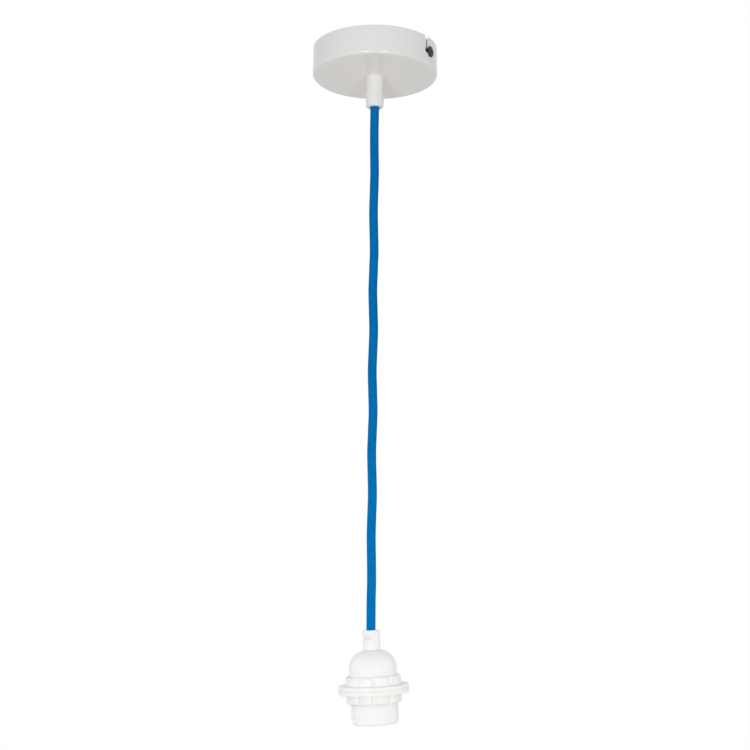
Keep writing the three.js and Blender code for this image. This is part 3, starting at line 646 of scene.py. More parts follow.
def fabric_surface():
    """Strands cross at two slants, each over and under the next, and each of a few yarns; the colour
    carries painted shade in the hollows between strands and between yarns.
    """
    tree, shader = material("blue_fabric")
    calc = calculator(tree)

    # Where the strands run, and which of them lies above
    split = node(tree, "SeparateXYZ", Vector=node(tree, "UVMap").outputs["UV"])
    around = calc("MULTIPLY", split.outputs["X"], BRAID_STRANDS / (pi * CORD_DIAMETER))
    along = calc("DIVIDE", split.outputs["Y"], BRAID_PITCH)
    rising = calc("ADD", around, along)
    falling = calc("SUBTRACT", around, along)
    cells = calc("ADD", calc("FLOOR", rising), calc("FLOOR", falling))
    above = calc("GREATER_THAN", calc("FRACT", calc("MULTIPLY", cells, 0.5)), 0.25)
    upper = node(tree, "Mix", {"data_type": "FLOAT"})
    tree.links.new(above, upper.inputs[0])
    tree.links.new(calc("FRACT", rising), upper.inputs[2])
    tree.links.new(calc("FRACT", falling), upper.inputs[3])
    across = upper.outputs[0]

    # Height of the upper strand and its yarns, and painted shade: the colour darkens in the gaps between
    # the strands and between the yarns
    hump = calc("SINE", calc("MULTIPLY", across, pi))
    yarns = calc("ABSOLUTE", calc("SINE", calc("MULTIPLY", across, pi * YARNS_IN_STRAND)))
    fuzz = grain(tree, 5200, 3)
    height = calc("ADD", calc("POWER", hump, 0.6), calc("MULTIPLY", yarns, 0.25))
    height = calc("ADD", height, calc("MULTIPLY", fuzz, 0.25))
    depth = calc("MULTIPLY", calc("POWER", hump, 0.4), calc("ADD", yarns, 1.2))
    # Painted shade: darker blue towards each strand's edges and between its yarns, mixed half and half
    # with random tone
    shade = calc("MINIMUM", calc("MULTIPLY", depth, 0.55), 1.0)
    tint = calc("ADD", calc("MULTIPLY", grain(tree, 220, 3), 0.5), calc("MULTIPLY", shade, 0.5))
    tint = blend(tree, tint, FABRIC_DARK, FABRIC_LIGHT)
    dress(tree, shader, tint, ramp(tree, fuzz, 0.7, 0.9), height, 0.06)
    shader.inputs["Specular IOR Level"].default_value = 0.03


earth_surface()
fabric_surface()


# Cords

def spline(points, spacing):
    """Points on a smooth curve through the given ones, about the given spacing apart."""
    knots = [Vector(point) for point in points]
    knots = [2 * knots[0] - knots[1], *knots, 2 * knots[-1] - knots[-2]]
    line = []
    for before, start, end, after in zip(knots, knots[1:], knots[2:], knots[3:]):
        count = max(1, round((end - start).length / spacing))
        for step in range(count):
            t = step / count
            line.append(0.5 * (
                2 * start
                + (end - before) * t
                + (2 * before - 5 * start + 4 * end - after) * t * t
                + (3 * start - 3 * end + after - before) * t ** 3
            ))
    return [*line, knots[-2]]


def sweep(line, radius, sides, relief=None):
    """A capped tube along a line of points, with UVs in millimetres round and along it."""
    shape = bmesh.new()
    layer = shape.loops.layers.uv.new("UVMap")
    starts_along_x = abs((line[1] - line[0]).normalized().x) > 0.9
    side = Vector((0, 1, 0)) if starts_along_x else Vector((1, 0, 0))
    around = 2 * pi * radius
    rings = []
    travelled = [0.0]
    for i, point in enumerate(line):
        ahead = (line[min(i + 1, len(line) - 1)] - line[max(i - 1, 0)]).normalized()
        side = (side - ahead * side.dot(ahead)).normalized()
        across = ahead.cross(side)
        if i:
            travelled.append(travelled[-1] + (point - line[i - 1]).length)
        ring = []
        for k in range(sides):
            angle = 2 * pi * k / sides
            reach = radius + (relief(around * k / sides, travelled[-1]) if relief else 0)
            ring.append(shape.verts.new(point + (side * cos(angle) + across * sin(angle)) * reach))
        rings.append(ring)
    for i in range(len(rings) - 1):
        for k in range(sides):
            after = (k + 1) % sides
            face = shape.faces.new((rings[i][k], rings[i][after], rings[i + 1][after], rings[i + 1][k]))
            for loop, (step, row) in zip(face.loops, ((k, i), (k + 1, i), (k + 1, i + 1), (k, i + 1))):
                loop[layer].uv = (around * step / sides, travelled[row])
    shape.faces.new(list(reversed(rings[0])))
    shape.faces.new(rings[-1])
    return meshed(shape), travelled[-1]


# Route of the fabric covered cord, from inside the upper grip to inside the lampholder's grip. It
# hangs with a slight wave that fades out towards both grips.
CORD_STRAIGHT = 6
CORD_SWAY = 0.5
CORD_SWAY_TO_FRONT = 0.2
CORD_QUARTER_WAVES = 25
CORD_LEAN_SHARE = 0.58


def cord_route():
    start = GRIP_MOUTH_Z - CORD_STRAIGHT
    end = HOLDER_TOP + CORD_STRAIGHT
    route = [
        (0, 0, -CUP_HEIGHT - GRIP_STOP - GAP),
        (0, 0, GRIP_MOUTH_Z + GRIP_LENGTH / 2),
        (0, 0, GRIP_MOUTH_Z),
    ]
    for i in range(CORD_QUARTER_WAVES + 1):
        part = i / CORD_QUARTER_WAVES
        angle = pi / 2 * i
        sway = CORD_SWAY * sqrt(sin(pi * part))
        x = -sway * sin(angle)
        y = CORD_SWAY_TO_FRONT * sway * cos(angle)
        route.append((x, y, start + (end - start) * part))
    depth = HOLDER_GRIP_LENGTH - GRIP_STOP - GAP
    lean = radians(HOLDER_LEAN)
    for reach in (0, depth * CORD_LEAN_SHARE, depth):
        route.append((reach * sin(lean), 0, HOLDER_TOP - reach * cos(lean)))
    return route


BRAID_RELIEF = 0.26
BRAID_SUNK_SHARE = 0.4
BRAID_SAMPLES = 5


def braid(u, v):
    """Height of the crossing strands at a place round and along the cord."""
    rising = u * BRAID_STRANDS / (pi * CORD_DIAMETER) + v / BRAID_PITCH
    falling = u * BRAID_STRANDS / (pi * CORD_DIAMETER) - v / BRAID_PITCH
    above = (floor(rising) + floor(falling)) % 2
    across = falling % 1 if above else rising % 1
    return BRAID_RELIEF * (sin(pi * across) - BRAID_SUNK_SHARE)


cord_line = spline(cord_route(), BRAID_PITCH / BRAID_SAMPLES)
cord_mesh, cord_length = sweep(cord_line, CORD_DIAMETER / 2, BRAID_STRANDS * BRAID_SAMPLES, braid)
cord = show("fabric_cord", "blue_fabric", cord_mesh, UPRIGHT, "cord", crease=80)


# Screws: a head's crown and recess are shares of its height, and a recess's spans shares of its radius
CROWN_SHARE = 0.55
RECESS_SHARE = 0.65
SLOT_SHARE = 0.7
CROSS_TOP_SPAN = 1.15
CROSS_TOP_WIDTH = 1.3
CROSS_FLOOR_SPAN = 0.5
CROSS_FLOOR_WIDTH = 0.8
HEAD_SLOT_WIDTH = 0.8
GRUB_SLOT_WIDTH = 0.7
GRUB_SLOT_DEPTH = 1.3
SHANK_POINT = (0.4, 0.6)
GRUB_POINT = 0.3
GRUB_BEVEL = 0.15
THREAD_SAMPLES = 5


def pan_screw(head_radius, head_height, shank, pitch, length, crossed_head):
    """A screw that points down from the seat of its head at z = 0."""
    crown = head_height * CROWN_SHARE
    brim = head_height - crown
    outline = [
        (0, -length),
        (shank - SHANK_POINT[0], -length),
        (shank, -length + SHANK_POINT[1]),
        (shank, 0),
        (head_radius, 0),
        *fillets([(head_radius, 0), (head_radius, brim, SMALL_EDGE), (0, brim)], closed=False)[1:-1],
        *arc((0, brim), (head_radius * 0.985, crown), 12, 90, 10),
    ]
    groove = thread(shank, -length + SHANK_POINT[0], -SMALL_EDGE, pitch, -THREAD_DEPTH * pitch)
    body = turned(dense(outline, pitch / THREAD_SAMPLES), 48, groove)
    recess = head_height * RECESS_SHARE
    if crossed_head:
        top = (head_radius * CROSS_TOP_SPAN, CROSS_TOP_WIDTH)
        foot = (head_radius * CROSS_FLOOR_SPAN, CROSS_FLOOR_WIDTH)
        bar = wedge(top, foot, head_height - recess, head_height + SMALL_EDGE)
        return cut(body, bar, moved(bar.copy(), turn(90)))
    slot_floor = head_height - recess * SLOT_SHARE
    return cut(body, block(head_radius * 2.2, HEAD_SLOT_WIDTH, slot_floor, head_height + OVERCUT))


def grub_screw(radius, length, slot=GRUB_SLOT_WIDTH, pitch=M3_PITCH):
    """A headless slotted screw that stands on z = 0, with its slot at the top."""
    outline = [
        (0, 0),
        (radius - GRUB_POINT, 0),
        (radius, GRUB_POINT),
        (radius, length - GRUB_BEVEL),
        (radius - GRUB_BEVEL, length),
        (0, length),
    ]
    groove = thread(radius, GRUB_POINT, length - FINE_EDGE, pitch, -GRUB_THREAD_DEPTH * pitch)
    body = turned(dense(outline, pitch / THREAD_SAMPLES), 40, groove)
    return cut(body, block(radius * 2.5, slot, length - slot * GRUB_SLOT_DEPTH, length + OVERCUT))


# Ceiling cup with its two L slots

def slot_tool():
    half = SLOT_WIDTH / 2
    start = -CUP_RADIUS * sin(radians(SLOT_TURN))
    top = -SCREW_DROP + half
    entry = [(0, top), (start + half, top, SLOT_INNER_FILLET), (start + half, OVERCUT)]
    outline = [
        (start - half, OVERCUT),
        *arc((start, -SCREW_DROP), (half, half), 180, 270, 10),
        *arc((0, -SCREW_DROP), (half, half), 270, 450, 20),
        *fillets(entry, closed=False)[1:],
    ]
    plate = slab(outline, CUP_RADIUS - THROUGH, CUP_RADIUS + OVERCUT)
    return moved(plate, turn(90, "Z"), turn(90, "Y"), BRACKET)


def cup_shell():
    hole = NIPPLE_RADIUS + GAP
    inside = CUP_RADIUS - CUP_WALL
    outline = fillets([
        (hole, -CUP_HEIGHT, SMALL_EDGE),
        (CUP_RADIUS, -CUP_HEIGHT, CUP_CORNER),
        (CUP_RADIUS, 0, EDGE),
        (inside, 0, EDGE),
        (inside, -CUP_HEIGHT + CUP_WALL, CUP_CORNER - CUP_WALL),
        (hole, -CUP_HEIGHT + CUP_WALL, SMALL_EDGE),
    ], step=9)
    slot = slot_tool()
    return cut(turned(dense(outline, 6), 240), slot, moved(slot.copy(), turn(180)))


show("cup_shell", "white_paint", cup_shell(), UPRIGHT, "ceiling_cup")


# Ceiling bracket, and the two screws that the cup hooks over

def bracket():
    low = -SCREW_DROP - EAR_WIDTH / 2
    half = BRACKET_WIDTH / 2
    ear = EAR_WIDTH / 2
    outer = BRACKET_BEND
    inner = BRACKET_BEND - BRACKET_THICKNESS
    strip = slab(
        [
            (EAR_REACH, low),
            *arc((EAR_REACH - outer, -outer), (outer, outer), 0, 90, 8),
            *arc((outer - EAR_REACH, -outer), (outer, outer), 90, 180, 8),
            (-EAR_REACH, low),
            (BRACKET_THICKNESS - EAR_REACH, low),
            *arc((outer - EAR_REACH, -outer), (inner, inner), 180, 90, 6),
            *arc((EAR_REACH - outer, -outer), (inner, inner), 90, 0, 6),
            (EAR_REACH - BRACKET_THICKNESS, low),
        ],
        -WING_REACH - OVERCUT, half + OVERCUT,
    )
    wing = WING_WIDTH / 2
    taper = EAR_TAPER + (half - ear) * EAR_TAPER_SLOPE
    right = [
        (EAR_TAPER, -half, BRACKET_FILLET), (taper, -ear, BRACKET_FILLET), (CUP_RADIUS, -ear),
        (CUP_RADIUS, ear), (taper, ear, BRACKET_FILLET), (EAR_TAPER, half, BRACKET_FILLET),
        (wing, half, WING_FILLET), (wing, WING_REACH, WING_FILLET),
    ]
    mirrored = [(-corner[0], *corner[1:]) for corner in reversed(right)]
    plan = slab(fillets([*right, *mirrored]), -CUP_HEIGHT, OVERCUT)
    side = WING_REACH + OVERCUT
    ears = slab(
        [
            (-side, OVERCUT), (-side, -outer), (-ear, -outer),
            *arc((0, -SCREW_DROP), (ear, ear), 180, 360, 20),
            (ear, -outer), (side, -outer), (side, OVERCUT),
        ],
        -CUP_RADIUS, CUP_RADIUS,
    )
    moved(strip, turn(90, "X"))
    moved(ears, turn(90, "Z"), turn(90, "Y"))
    shaped = combined("INTERSECT", strip, plan, ears)
    round_end = CEILING_SLOT_WIDTH / 2 - 0.01
    slots = [
        moved(
            block(CEILING_SLOT_LENGTH, CEILING_SLOT_WIDTH, -THROUGH, OVERCUT, round_end),
            shift(x, 0, 0),
        )
        for x in (CEILING_SLOT_MIDDLE, -CEILING_SLOT_MIDDLE)
    ]
    side_hole = rod(M4_RADIUS + GAP, -CUP_RADIUS, CUP_RADIUS)
    pierced = cut(
        shaped,
        *slots,
        moved(side_hole, turn(90, "Y"), shift(0, 0, -SCREW_DROP)),
        moved(rod(M4_RADIUS + GAP, -THROUGH, OVERCUT), shift(*EARTH_PLACE, 0)),
        moved(rod(M3_RADIUS + GAP, -THROUGH, OVERCUT), shift(POLE_PITCH / 2, STRIP_Y, 0)),
    )
    return softened(pierced, BRACKET_EDGE)


show("bracket_strip", "zinc_steel", bracket(), BRACKET, "ceiling_bracket")

for label, angle in (("right", 0), ("left", 180)):
    screw = pan_screw(SIDE_HEAD_RADIUS, SIDE_HEAD_HEIGHT, M4_RADIUS, M4_PITCH, SIDE_SCREW_LENGTH, True)
    seat = shift(CUP_RADIUS + GAP, 0, -SCREW_DROP)
    moved(screw, turn(SIDE_SCREW_TURN), turn(90, "Y"), seat, turn(angle))
    show(f"cup_screw_{label}", "dark_steel", screw, BRACKET, f"side_screw_{label}")

# Earth screw and its ring lug
earth_seat = -BRACKET_THICKNESS - GAP - LUG_THICKNESS - GAP
screw = pan_screw(EARTH_HEAD_RADIUS, EARTH_HEAD_HEIGHT, M4_RADIUS, M4_PITCH, -earth_seat - GAP, True)
moved(screw, turn(180, "X"), shift(*EARTH_PLACE, earth_seat))
show("earth_bolt", "brass", screw, BRACKET, "earth_screw")

lug_top = -BRACKET_THICKNESS - GAP
lug_wire_z = lug_top - LUG_BARREL_RADIUS


def ring_lug():
    low = lug_top - LUG_THICKNESS
    ring = sleeve(M4_RADIUS + GAP, LUG_RADIUS, low, lug_top, FINE_EDGE, 64)
    neck = block(LUG_NECK_WIDTH, LUG_BARREL_START - M4_RADIUS, low, lug_top)
    neck = moved(softened(neck, FINE_EDGE), shift(0, -LUG_NECK_MIDDLE, 0))
    crimp = sleeve(CORE_RADIUS + GAP, LUG_BARREL_RADIUS, 0, LUG_BARREL_LENGTH, FINE_EDGE, 40)
    moved(crimp, turn(90, "X"), shift(0, -LUG_BARREL_START, lug_wire_z))
    return moved(join(ring, neck, crimp), shift(*EARTH_PLACE, 0))


show("earth_lug", "zinc_steel", ring_lug(), BRACKET, "earth_ring_lug")


# Terminal strip

def pole_x(pole):
    return (pole - 1) * POLE_PITCH


POLE_YS = (STRIP_Y - TOWER_SPACING / 2, STRIP_Y + TOWER_SPACING / 2)


def strip_body():
    base = block(len(POLES) * POLE_PITCH, STRIP_DEPTH, STRIP_BOTTOM, STRIP_TOP, STRIP_FILLET)
    under = STRIP_BOTTOM - OVERCUT
    over = STRIP_TOP + OVERCUT
    parts = []
    tools = [moved(rod(M3_RADIUS + GAP, under, over), shift(POLE_PITCH / 2, STRIP_Y, 0))]
    for pole in range(len(POLES)):
        bore = moved(rod(TUBE_RADIUS + GAP, -STRIP_DEPTH, STRIP_DEPTH), turn(90, "X"))
        tools.append(moved(bore, shift(pole_x(pole), STRIP_Y, POLE_Z)))
        for y in POLE_YS:
            low = STRIP_BOTTOM - TOWER_HEIGHT
            root = STRIP_BOTTOM + OVERCUT
            tower = turned(fillets([
                (0, low), (TOWER_RADIUS, low, ROUND_EDGE),
                (TOWER_RADIUS + TOWER_DRAFT, root), (0, root),
            ]), 48)
            parts.append(moved(tower, shift(pole_x(pole), y, 0)))
            hole = rod(M3_RADIUS + GAP, low - OVERCUT, POLE_Z)
            tools.append(moved(hole, shift(pole_x(pole), y, 0)))
    for x in (-POLE_PITCH / 2, POLE_PITCH / 2):
        for side in (-1, 1):
            notch = block(*STRIP_NOTCH, under, over)
            tools.append(moved(notch, shift(x, STRIP_Y + side * STRIP_DEPTH / 2, 0)))
    body = moved(softened(base, SOFT_EDGE, 3), shift(0, STRIP_Y, 0))
    return cut(join(body, *parts), *tools)


show("strip_body", "strip_nylon", strip_body(), BRACKET, "terminal_strip")
seat = STRIP_BOTTOM - GAP
screw = pan_screw(FIXING_HEAD_RADIUS, FIXING_HEAD_HEIGHT, M3_RADIUS, M3_PITCH, -seat - GAP, False)
moved(screw, turn(180, "X"), shift(POLE_PITCH / 2, STRIP_Y, seat))
show("strip_bolt", "zinc_steel", screw, BRACKET, "strip_fixing_screw")

for pole, label in enumerate(POLES):
    tube = sleeve(TUBE_BORE, TUBE_RADIUS, -TUBE_LENGTH / 2, TUBE_LENGTH / 2, TUBE_EDGE, 48)
    moved(tube, turn(90, "X"), shift(pole_x(pole), STRIP_Y, POLE_Z))
    holes = [
        moved(rod(M3_RADIUS + GAP, POLE_Z - THROUGH, POLE_Z), shift(pole_x(pole), y, 0))
        for y in POLE_YS
    ]
    show(f"brass_tube_{label}", "brass", cut(tube, *holes), BRACKET, f"terminal_tube_{label}")
    for side, y in zip(("cord", "mains"), POLE_YS):
        screw = grub_screw(M3_RADIUS, CLAMP_LENGTH)
        foot = shift(pole_x(pole), y, POLE_Z - CORE_RADIUS - GAP)
        moved(screw, turn(CLAMP_TURN + CLAMP_TURN_STEP * pole), turn(180, "X"), foot)
        show(f"wire_screw_{label}_{side}", "zinc_steel", screw, BRACKET, f"clamp_screw_{label}_{side}")


# Cord grips

def grip(length, mouth_radius, mouth_edge, base_radius, nipple, screw_depth, screw_azimuth, skirt=0):
    """A grip with its mouth at z = 0, its body above it and then its threaded nipple."""
    end = length + nipple
    bore = CORD_DIAMETER / 2 + GAP
    sheath_bore = SHEATH_RADIUS + GAP
    outline = fillets([
        (bore, 0, MOUTH_FLARE),
        (mouth_radius, 0, mouth_edge),
        (base_radius, length + skirt, SEAM_EDGE),
        (NIPPLE_RADIUS, length + skirt),
        (NIPPLE_RADIUS, end - NIPPLE_POINT[1]),
        (NIPPLE_RADIUS - NIPPLE_POINT[0], end),
        (sheath_bore, end),
        (sheath_bore, length - GRIP_STOP),
        (bore, length - GRIP_STOP),
    ], step=12)
    groove = thread(NIPPLE_RADIUS, length, end - EDGE, NIPPLE_PITCH, -THREAD_DEPTH * NIPPLE_PITCH)
    body = turned(dense(outline, 0.25), 96, groove)
    hole = rod(GRIP_SCREW_RADIUS + SEAM, SHEATH_RADIUS, base_radius + 2 * OVERCUT)
    return cut(body, moved(hole, turn(90, "Y"), shift(0, 0, screw_depth), turn(screw_azimuth - 90)))


def grip_screw(mouth_radius, screw_depth, screw_azimuth):
    bore = CORD_DIAMETER / 2 + GAP
    length = mouth_radius - GRIP_SCREW_SUNK - bore
    screw = grub_screw(GRIP_SCREW_RADIUS, length, GRIP_SCREW_SLOT, M4_PITCH)
    return moved(screw, turn(90), turn(90, "Y"), shift(bore, 0, screw_depth), turn(screw_azimuth - 90))


upper_grip = grip(
    GRIP_LENGTH, GRIP_MOUTH_RADIUS, GRIP_MOUTH_EDGE, GRIP_BASE_RADIUS, GRIP_NIPPLE,
    GRIP_SCREW_DEPTH, GRIP_SCREW_AZIMUTH,
)
show("cup_grip", "white_plastic", upper_grip, shift(0, 0, GRIP_MOUTH_Z), "canopy_cord_grip")
upper_screw = grip_screw(GRIP_MOUTH_RADIUS, GRIP_SCREW_DEPTH, GRIP_SCREW_AZIMUTH)
show("cup_grip_screw", "white_plastic", upper_screw, shift(0, 0, GRIP_MOUTH_Z), "canopy_grip_screw")

turned_azimuth = 180 - HOLDER_SCREW_AZIMUTH
lower_grip = grip(
    HOLDER_GRIP_LENGTH, HOLDER_GRIP_MOUTH_RADIUS, HOLDER_GRIP_MOUTH_EDGE, HOLDER_GRIP_BASE_RADIUS,
    HOLDER_NIPPLE, HOLDER_SCREW_DEPTH, turned_azimuth, GAP - SEAM,
)
show("lamp_grip", "white_plastic", moved(lower_grip, turn(180, "X")), HOLDER, "holder_cord_grip")
lower_screw = grip_screw(HOLDER_GRIP_MOUTH_RADIUS, HOLDER_SCREW_DEPTH, turned_azimuth)
show("lamp_grip_screw", "white_plastic", moved(lower_screw, turn(180, "X")), HOLDER, "holder_grip_screw")


# Lock nut and toothed washer

cup_floor = -CUP_HEIGHT + CUP_WALL
nut_low = cup_floor + WASHER_THICKNESS
nut_top = nut_low + NUT_HEIGHT
nut_bore = NIPPLE_RADIUS + GAP
nut_corner = NUT_FLATS / sqrt(3)


def hexagon(at, z, angle):
    """Draws the outside of the nut in to six flats, and leaves its bore round."""
    if at < NIPPLE_RADIUS + 1:
        return 0.0
    flat = (angle % (pi / 3)) - pi / 6
    return min(0.0, NUT_FLATS / 2 / cos(flat) - at)


nut = turned(dense([
    (nut_bore, nut_low), (nut_corner, nut_low), (nut_corner, nut_top - NUT_BEVEL[1]),
    (nut_corner - NUT_BEVEL[0], nut_top), (nut_bore + EDGE, nut_top), (nut_bore, nut_top - EDGE),
], 0.25), 192, hexagon)
show("hex_nut", "zinc_steel", nut, UPRIGHT, "lock_nut")


def teeth(at, z, angle):
    """Cuts the rim of the washer back to its root between the teeth."""
    if at <= WASHER_ROOT:
        return 0.0
    part = (angle * WASHER_TEETH / (2 * pi)) % 1
    level = min(1, max(0, 1 - (abs(part - 0.5) - TOOTH_HALF) / TOOTH_FLANK))
    return (WASHER_ROOT - at) * (1 - level)


washer = turned([
    (nut_bore, cup_floor), (WASHER_ROOT, cup_floor), (WASHER_RADIUS, cup_floor),
    (WASHER_RADIUS, nut_low), (WASHER_ROOT, nut_low), (nut_bore, nut_low),
], 240, teeth)
show("tooth_washer", "zinc_steel", washer, UPRIGHT, "toothed_washer")


# Dome cap

dome_centre = (DOME_RADIUS - DOME_SHOULDER, -HOLDER_GRIP_LENGTH - GAP - DOME_ARC)
inner_shoulder = DOME_SHOULDER - DOME_WALL
boss_angle = degrees(acos((BOSS_RADIUS - dome_centre[0]) / inner_shoulder))
boss_low = -HOLDER_GRIP_LENGTH - HOLDER_NIPPLE - GAP
dome_outline = [
    (NIPPLE_RADIUS + GAP, boss_low),
    (BOSS_RADIUS, boss_low),
    *arc(dome_centre, (inner_shoulder, DOME_ARC - DOME_WALL), boss_angle, 0, 20),
    (DOME_RADIUS - DOME_WALL, -DOME_RIM),
    *fillets([
        (0, -DOME_RIM), (DOME_RADIUS, -DOME_RIM, ROUND_EDGE), (DOME_RADIUS, 0),
    ], closed=False)[1:-1],
    *arc(dome_centre, (DOME_SHOULDER, DOME_ARC), 0, 90, 36),
    (NIPPLE_RADIUS + GAP, dome_centre[1] + DOME_ARC),
]
show("dome_shell", "white_plastic", turned(dense(dome_outline, 2), 180), HOLDER, "dome_cap")


# Barrel with the shade thread on its two sides and the lamp thread inside

def two_sides(angle):
    """1 on the two sides where the thread is moulded, falling to 0 at the front and the back."""
    off = abs((degrees(angle) + BARREL_TURN + 90) % 180 - 90)
    return eased((BARREL_SECTOR - off) / BARREL_SECTOR_FADE)


def barrel_shell():
    """The barrel is a sleeve round the lamp's own sleeve, and ribs join the two."""
    shoulder = DOME_RIM + GAP
    thread_top = -shoulder - SHOULDER_HEIGHT
    ledge = INSERT_BOTTOM + GAP
    shell_outer = LAMP_RADIUS + SHELL_WALL
    outline = fillets([
        (BARREL_INNER, -BARREL_END, EDGE),
        (BARREL_ROOT - BARREL_BEVEL, -BARREL_END, EDGE),
        (BARREL_ROOT, -BARREL_END + BARREL_BEVEL, ROUND_EDGE),
        (BARREL_ROOT, thread_top),
        (DOME_RADIUS, thread_top, EDGE),
        (DOME_RADIUS, -shoulder, SOFT_EDGE),
        (NECK_RADIUS, -shoulder),
        (NECK_RADIUS, -NECK_TOP, EDGE),
        (NECK_BORE, -NECK_TOP, EDGE),
        (NECK_BORE, -ledge),
        (LAMP_RADIUS, -ledge),
        (LAMP_RADIUS, -SHELL_END, ROUND_EDGE),
        (shell_outer, -SHELL_END, EDGE),
        (shell_outer, -BARREL_FLOOR),
        (BARREL_INNER, -BARREL_FLOOR),
    ], step=22)
    outside = thread(
        BARREL_ROOT, -BARREL_END + BARREL_THREAD_END, thread_top,
        BARREL_PITCH, BARREL_RADIUS - BARREL_ROOT, -BARREL_START, two_sides,
    )
    inside = thread(
        LAMP_RADIUS, -SHELL_END + LAMP_THREAD_END, -ledge,
        LAMP_PITCH, -LAMP_DEPTH, -LAMP_START - LAMP_PITCH * LAMP_TURNS,
    )
    shape = bmesh.new()
    shape.from_mesh(turned(dense(outline, 0.36), 160, outside, inside))
    rib_width = BARREL_INNER - shell_outer + 2 * RIB_SUNK
    for i in range(RIB_COUNT):
        rib = block(rib_width, RIB_THICKNESS, -SHELL_END + RIB_ENDS[0], -BARREL_FLOOR + RIB_ENDS[1])
        middle = shift((BARREL_INNER + shell_outer) / 2, 0, 0)
        shape.from_mesh(moved(rib, middle, turn(360 * i / RIB_COUNT + RIB_TURN)))
    return meshed(shape)


show("barrel_shell", "white_plastic", barrel_shell(), HOLDER, "threaded_barrel")


# Shade rings. The collar starts a hair above the flange, so that the notches leave the flange whole.

HAIR = 0.0005


def notches(at, z, angle):
    """Scalloped finger grips round the collar, with softly rounded edges."""
    if at < RING_BORE + 1 or z < FLANGE_THICKNESS + 2 * HAIR:
        return 0.0
    pitch = 2 * pi / NOTCH_COUNT
    off = (angle + pi / 2 + pitch / 2) % pitch - pitch / 2
    centre = COLLAR_RADIUS + NOTCH_RADIUS - NOTCH_DEPTH
    chord = NOTCH_RADIUS ** 2 - (centre * sin(off)) ** 2
    if chord <= 0:
        return 0.0
    gap = centre * cos(off) - sqrt(chord) - at
    if abs(gap) > NOTCH_SOFTNESS:
        return min(0.0, gap)
    return -((NOTCH_SOFTNESS - gap) ** 2) / (4 * NOTCH_SOFTNESS)


def shade_ring(height_sign, face):
    """A ring with its flange's face down and its collar up; the sign is -1 for one that is hung over."""
    top = FLANGE_THICKNESS + COLLAR_HEIGHT
    lip = RING_BORE - GAP
    outline = fillets([
        (RING_BORE, face, SOFT_EDGE),
        (FLANGE_RADIUS, face, SEAM_EDGE),
        (FLANGE_RADIUS, FLANGE_THICKNESS, FLANGE_EDGE),
        (COLLAR_RADIUS, FLANGE_THICKNESS + HAIR, SOFT_EDGE),
        (COLLAR_RADIUS, top - COLLAR_BEVEL, SOFT_EDGE),
        (COLLAR_RADIUS - COLLAR_BEVEL, top, EDGE),
        (lip, top, SEAM_EDGE),
        (lip, top - RING_LIP),
        (RING_BORE, top - RING_LIP - GAP),
    ])
    phase = (-BARREL_START + FLANGE_TOP + FLANGE_THICKNESS) * height_sign + BARREL_PITCH / 2
    depth = BARREL_ROOT - BARREL_RADIUS
    groove = thread(RING_BORE, EDGE, top - RING_THREAD_END, BARREL_PITCH, depth, phase)
    return turned(dense(outline, 0.4), 360, notches, groove)


lower_face = -FLANGE_TOP - FLANGE_THICKNESS
upper_ring = moved(shade_ring(1, 0), shift(0, 0, lower_face))
lower_ring = moved(shade_ring(-1, SEAM - GAP), turn(180, "X"), shift(0, 0, lower_face - GAP))
show("shade_ring_upper", "white_plastic", upper_ring, HOLDER, "upper_shade_ring")
show("shade_ring_lower", "white_plastic", lower_ring, HOLDER, "lower_shade_ring")


# Contact insert with its metal parts

def insert_body():
    radius = NECK_BORE - GAP
    top = -INSERT_TOP
    disc = turned(fillets([
        (0, -INSERT_BOTTOM), (radius, -INSERT_BOTTOM, SOFT_EDGE), (radius, top, SOFT_EDGE), (0, top),
    ]), 120)
    barrier = block(BARRIER_THICKNESS, radius * BARRIER_SPAN, top - OVERCUT, top + BARRIER_HEIGHT)
    softened_barrier = softened(barrier, BARRIER_EDGE)
    tools = []
    for side in (-1, 1):
        leg = block(METAL + 2 * GAP, METAL_WIDTH + 2 * GAP, -INSERT_BOTTOM - OVERCUT, 0)
        tools.append(moved(leg, shift(side * LEG_X, 0, 0)))
        for end in (-1, 1):
            pocket = block(*POCKET_SIZE, top - POCKET_DEPTH, top + OVERCUT, POCKET_FILLET)
            tools.append(moved(pocket, shift(side * POCKET_PLACE[0], end * POCKET_PLACE[1], 0)))
    return cut(join(disc, softened_barrier), *tools)


def bent_strip(points):
    """A strip of metal that follows (x, z) points with a small round bend at each."""
    bends = fillets([(*point, METAL_BEND) for point in points], closed=False, step=30)
    line = [Vector(point) for point in bends]
    left, right = [], []
    for i, here in enumerate(line):
        along = (line[min(i + 1, len(line) - 1)] - line[max(i - 1, 0)]).normalized()
        across = Vector((-along.y, along.x)) * METAL / 2
        left.append(tuple(here + across))
        right.insert(0, tuple(here - across))
    half = METAL_WIDTH / 2
    return moved(softened(slab([*right, *left], -half, half), FINE_EDGE), turn(90, "X"))


def contact_routes():
    """The (x, z) points of the centre and the side contact, each from under its pillar to its tip."""
    tab = -INSERT_TOP + GAP + METAL / 2
    start = [(PILLAR_X - PILLAR_SIZE / 2, tab), (LEG_X, tab)]
    face = -INSERT_BOTTOM
    under = face - GAP - METAL / 2
    tip = under - TIP_DROP
    centre = [*start, (LEG_X, under), (4, under), (1.5, tip), (-1.5, tip), (-2.5, tip + 1)]
    side = [*start, (LEG_X, face - 1.2), (LEG_X - 1.6, face - 3.6), (LEG_X - 0.6, face - 5.4)]
    return centre, side


centre_route, side_route = contact_routes()
show("insert_disc", "insert_ceramic", insert_body(), HOLDER, "contact_insert")
show("tongue_centre", "brass", bent_strip(centre_route), HOLDER, "centre_contact")
show("tongue_side", "brass", moved(bent_strip(side_route), turn(180)), HOLDER, "side_contact")

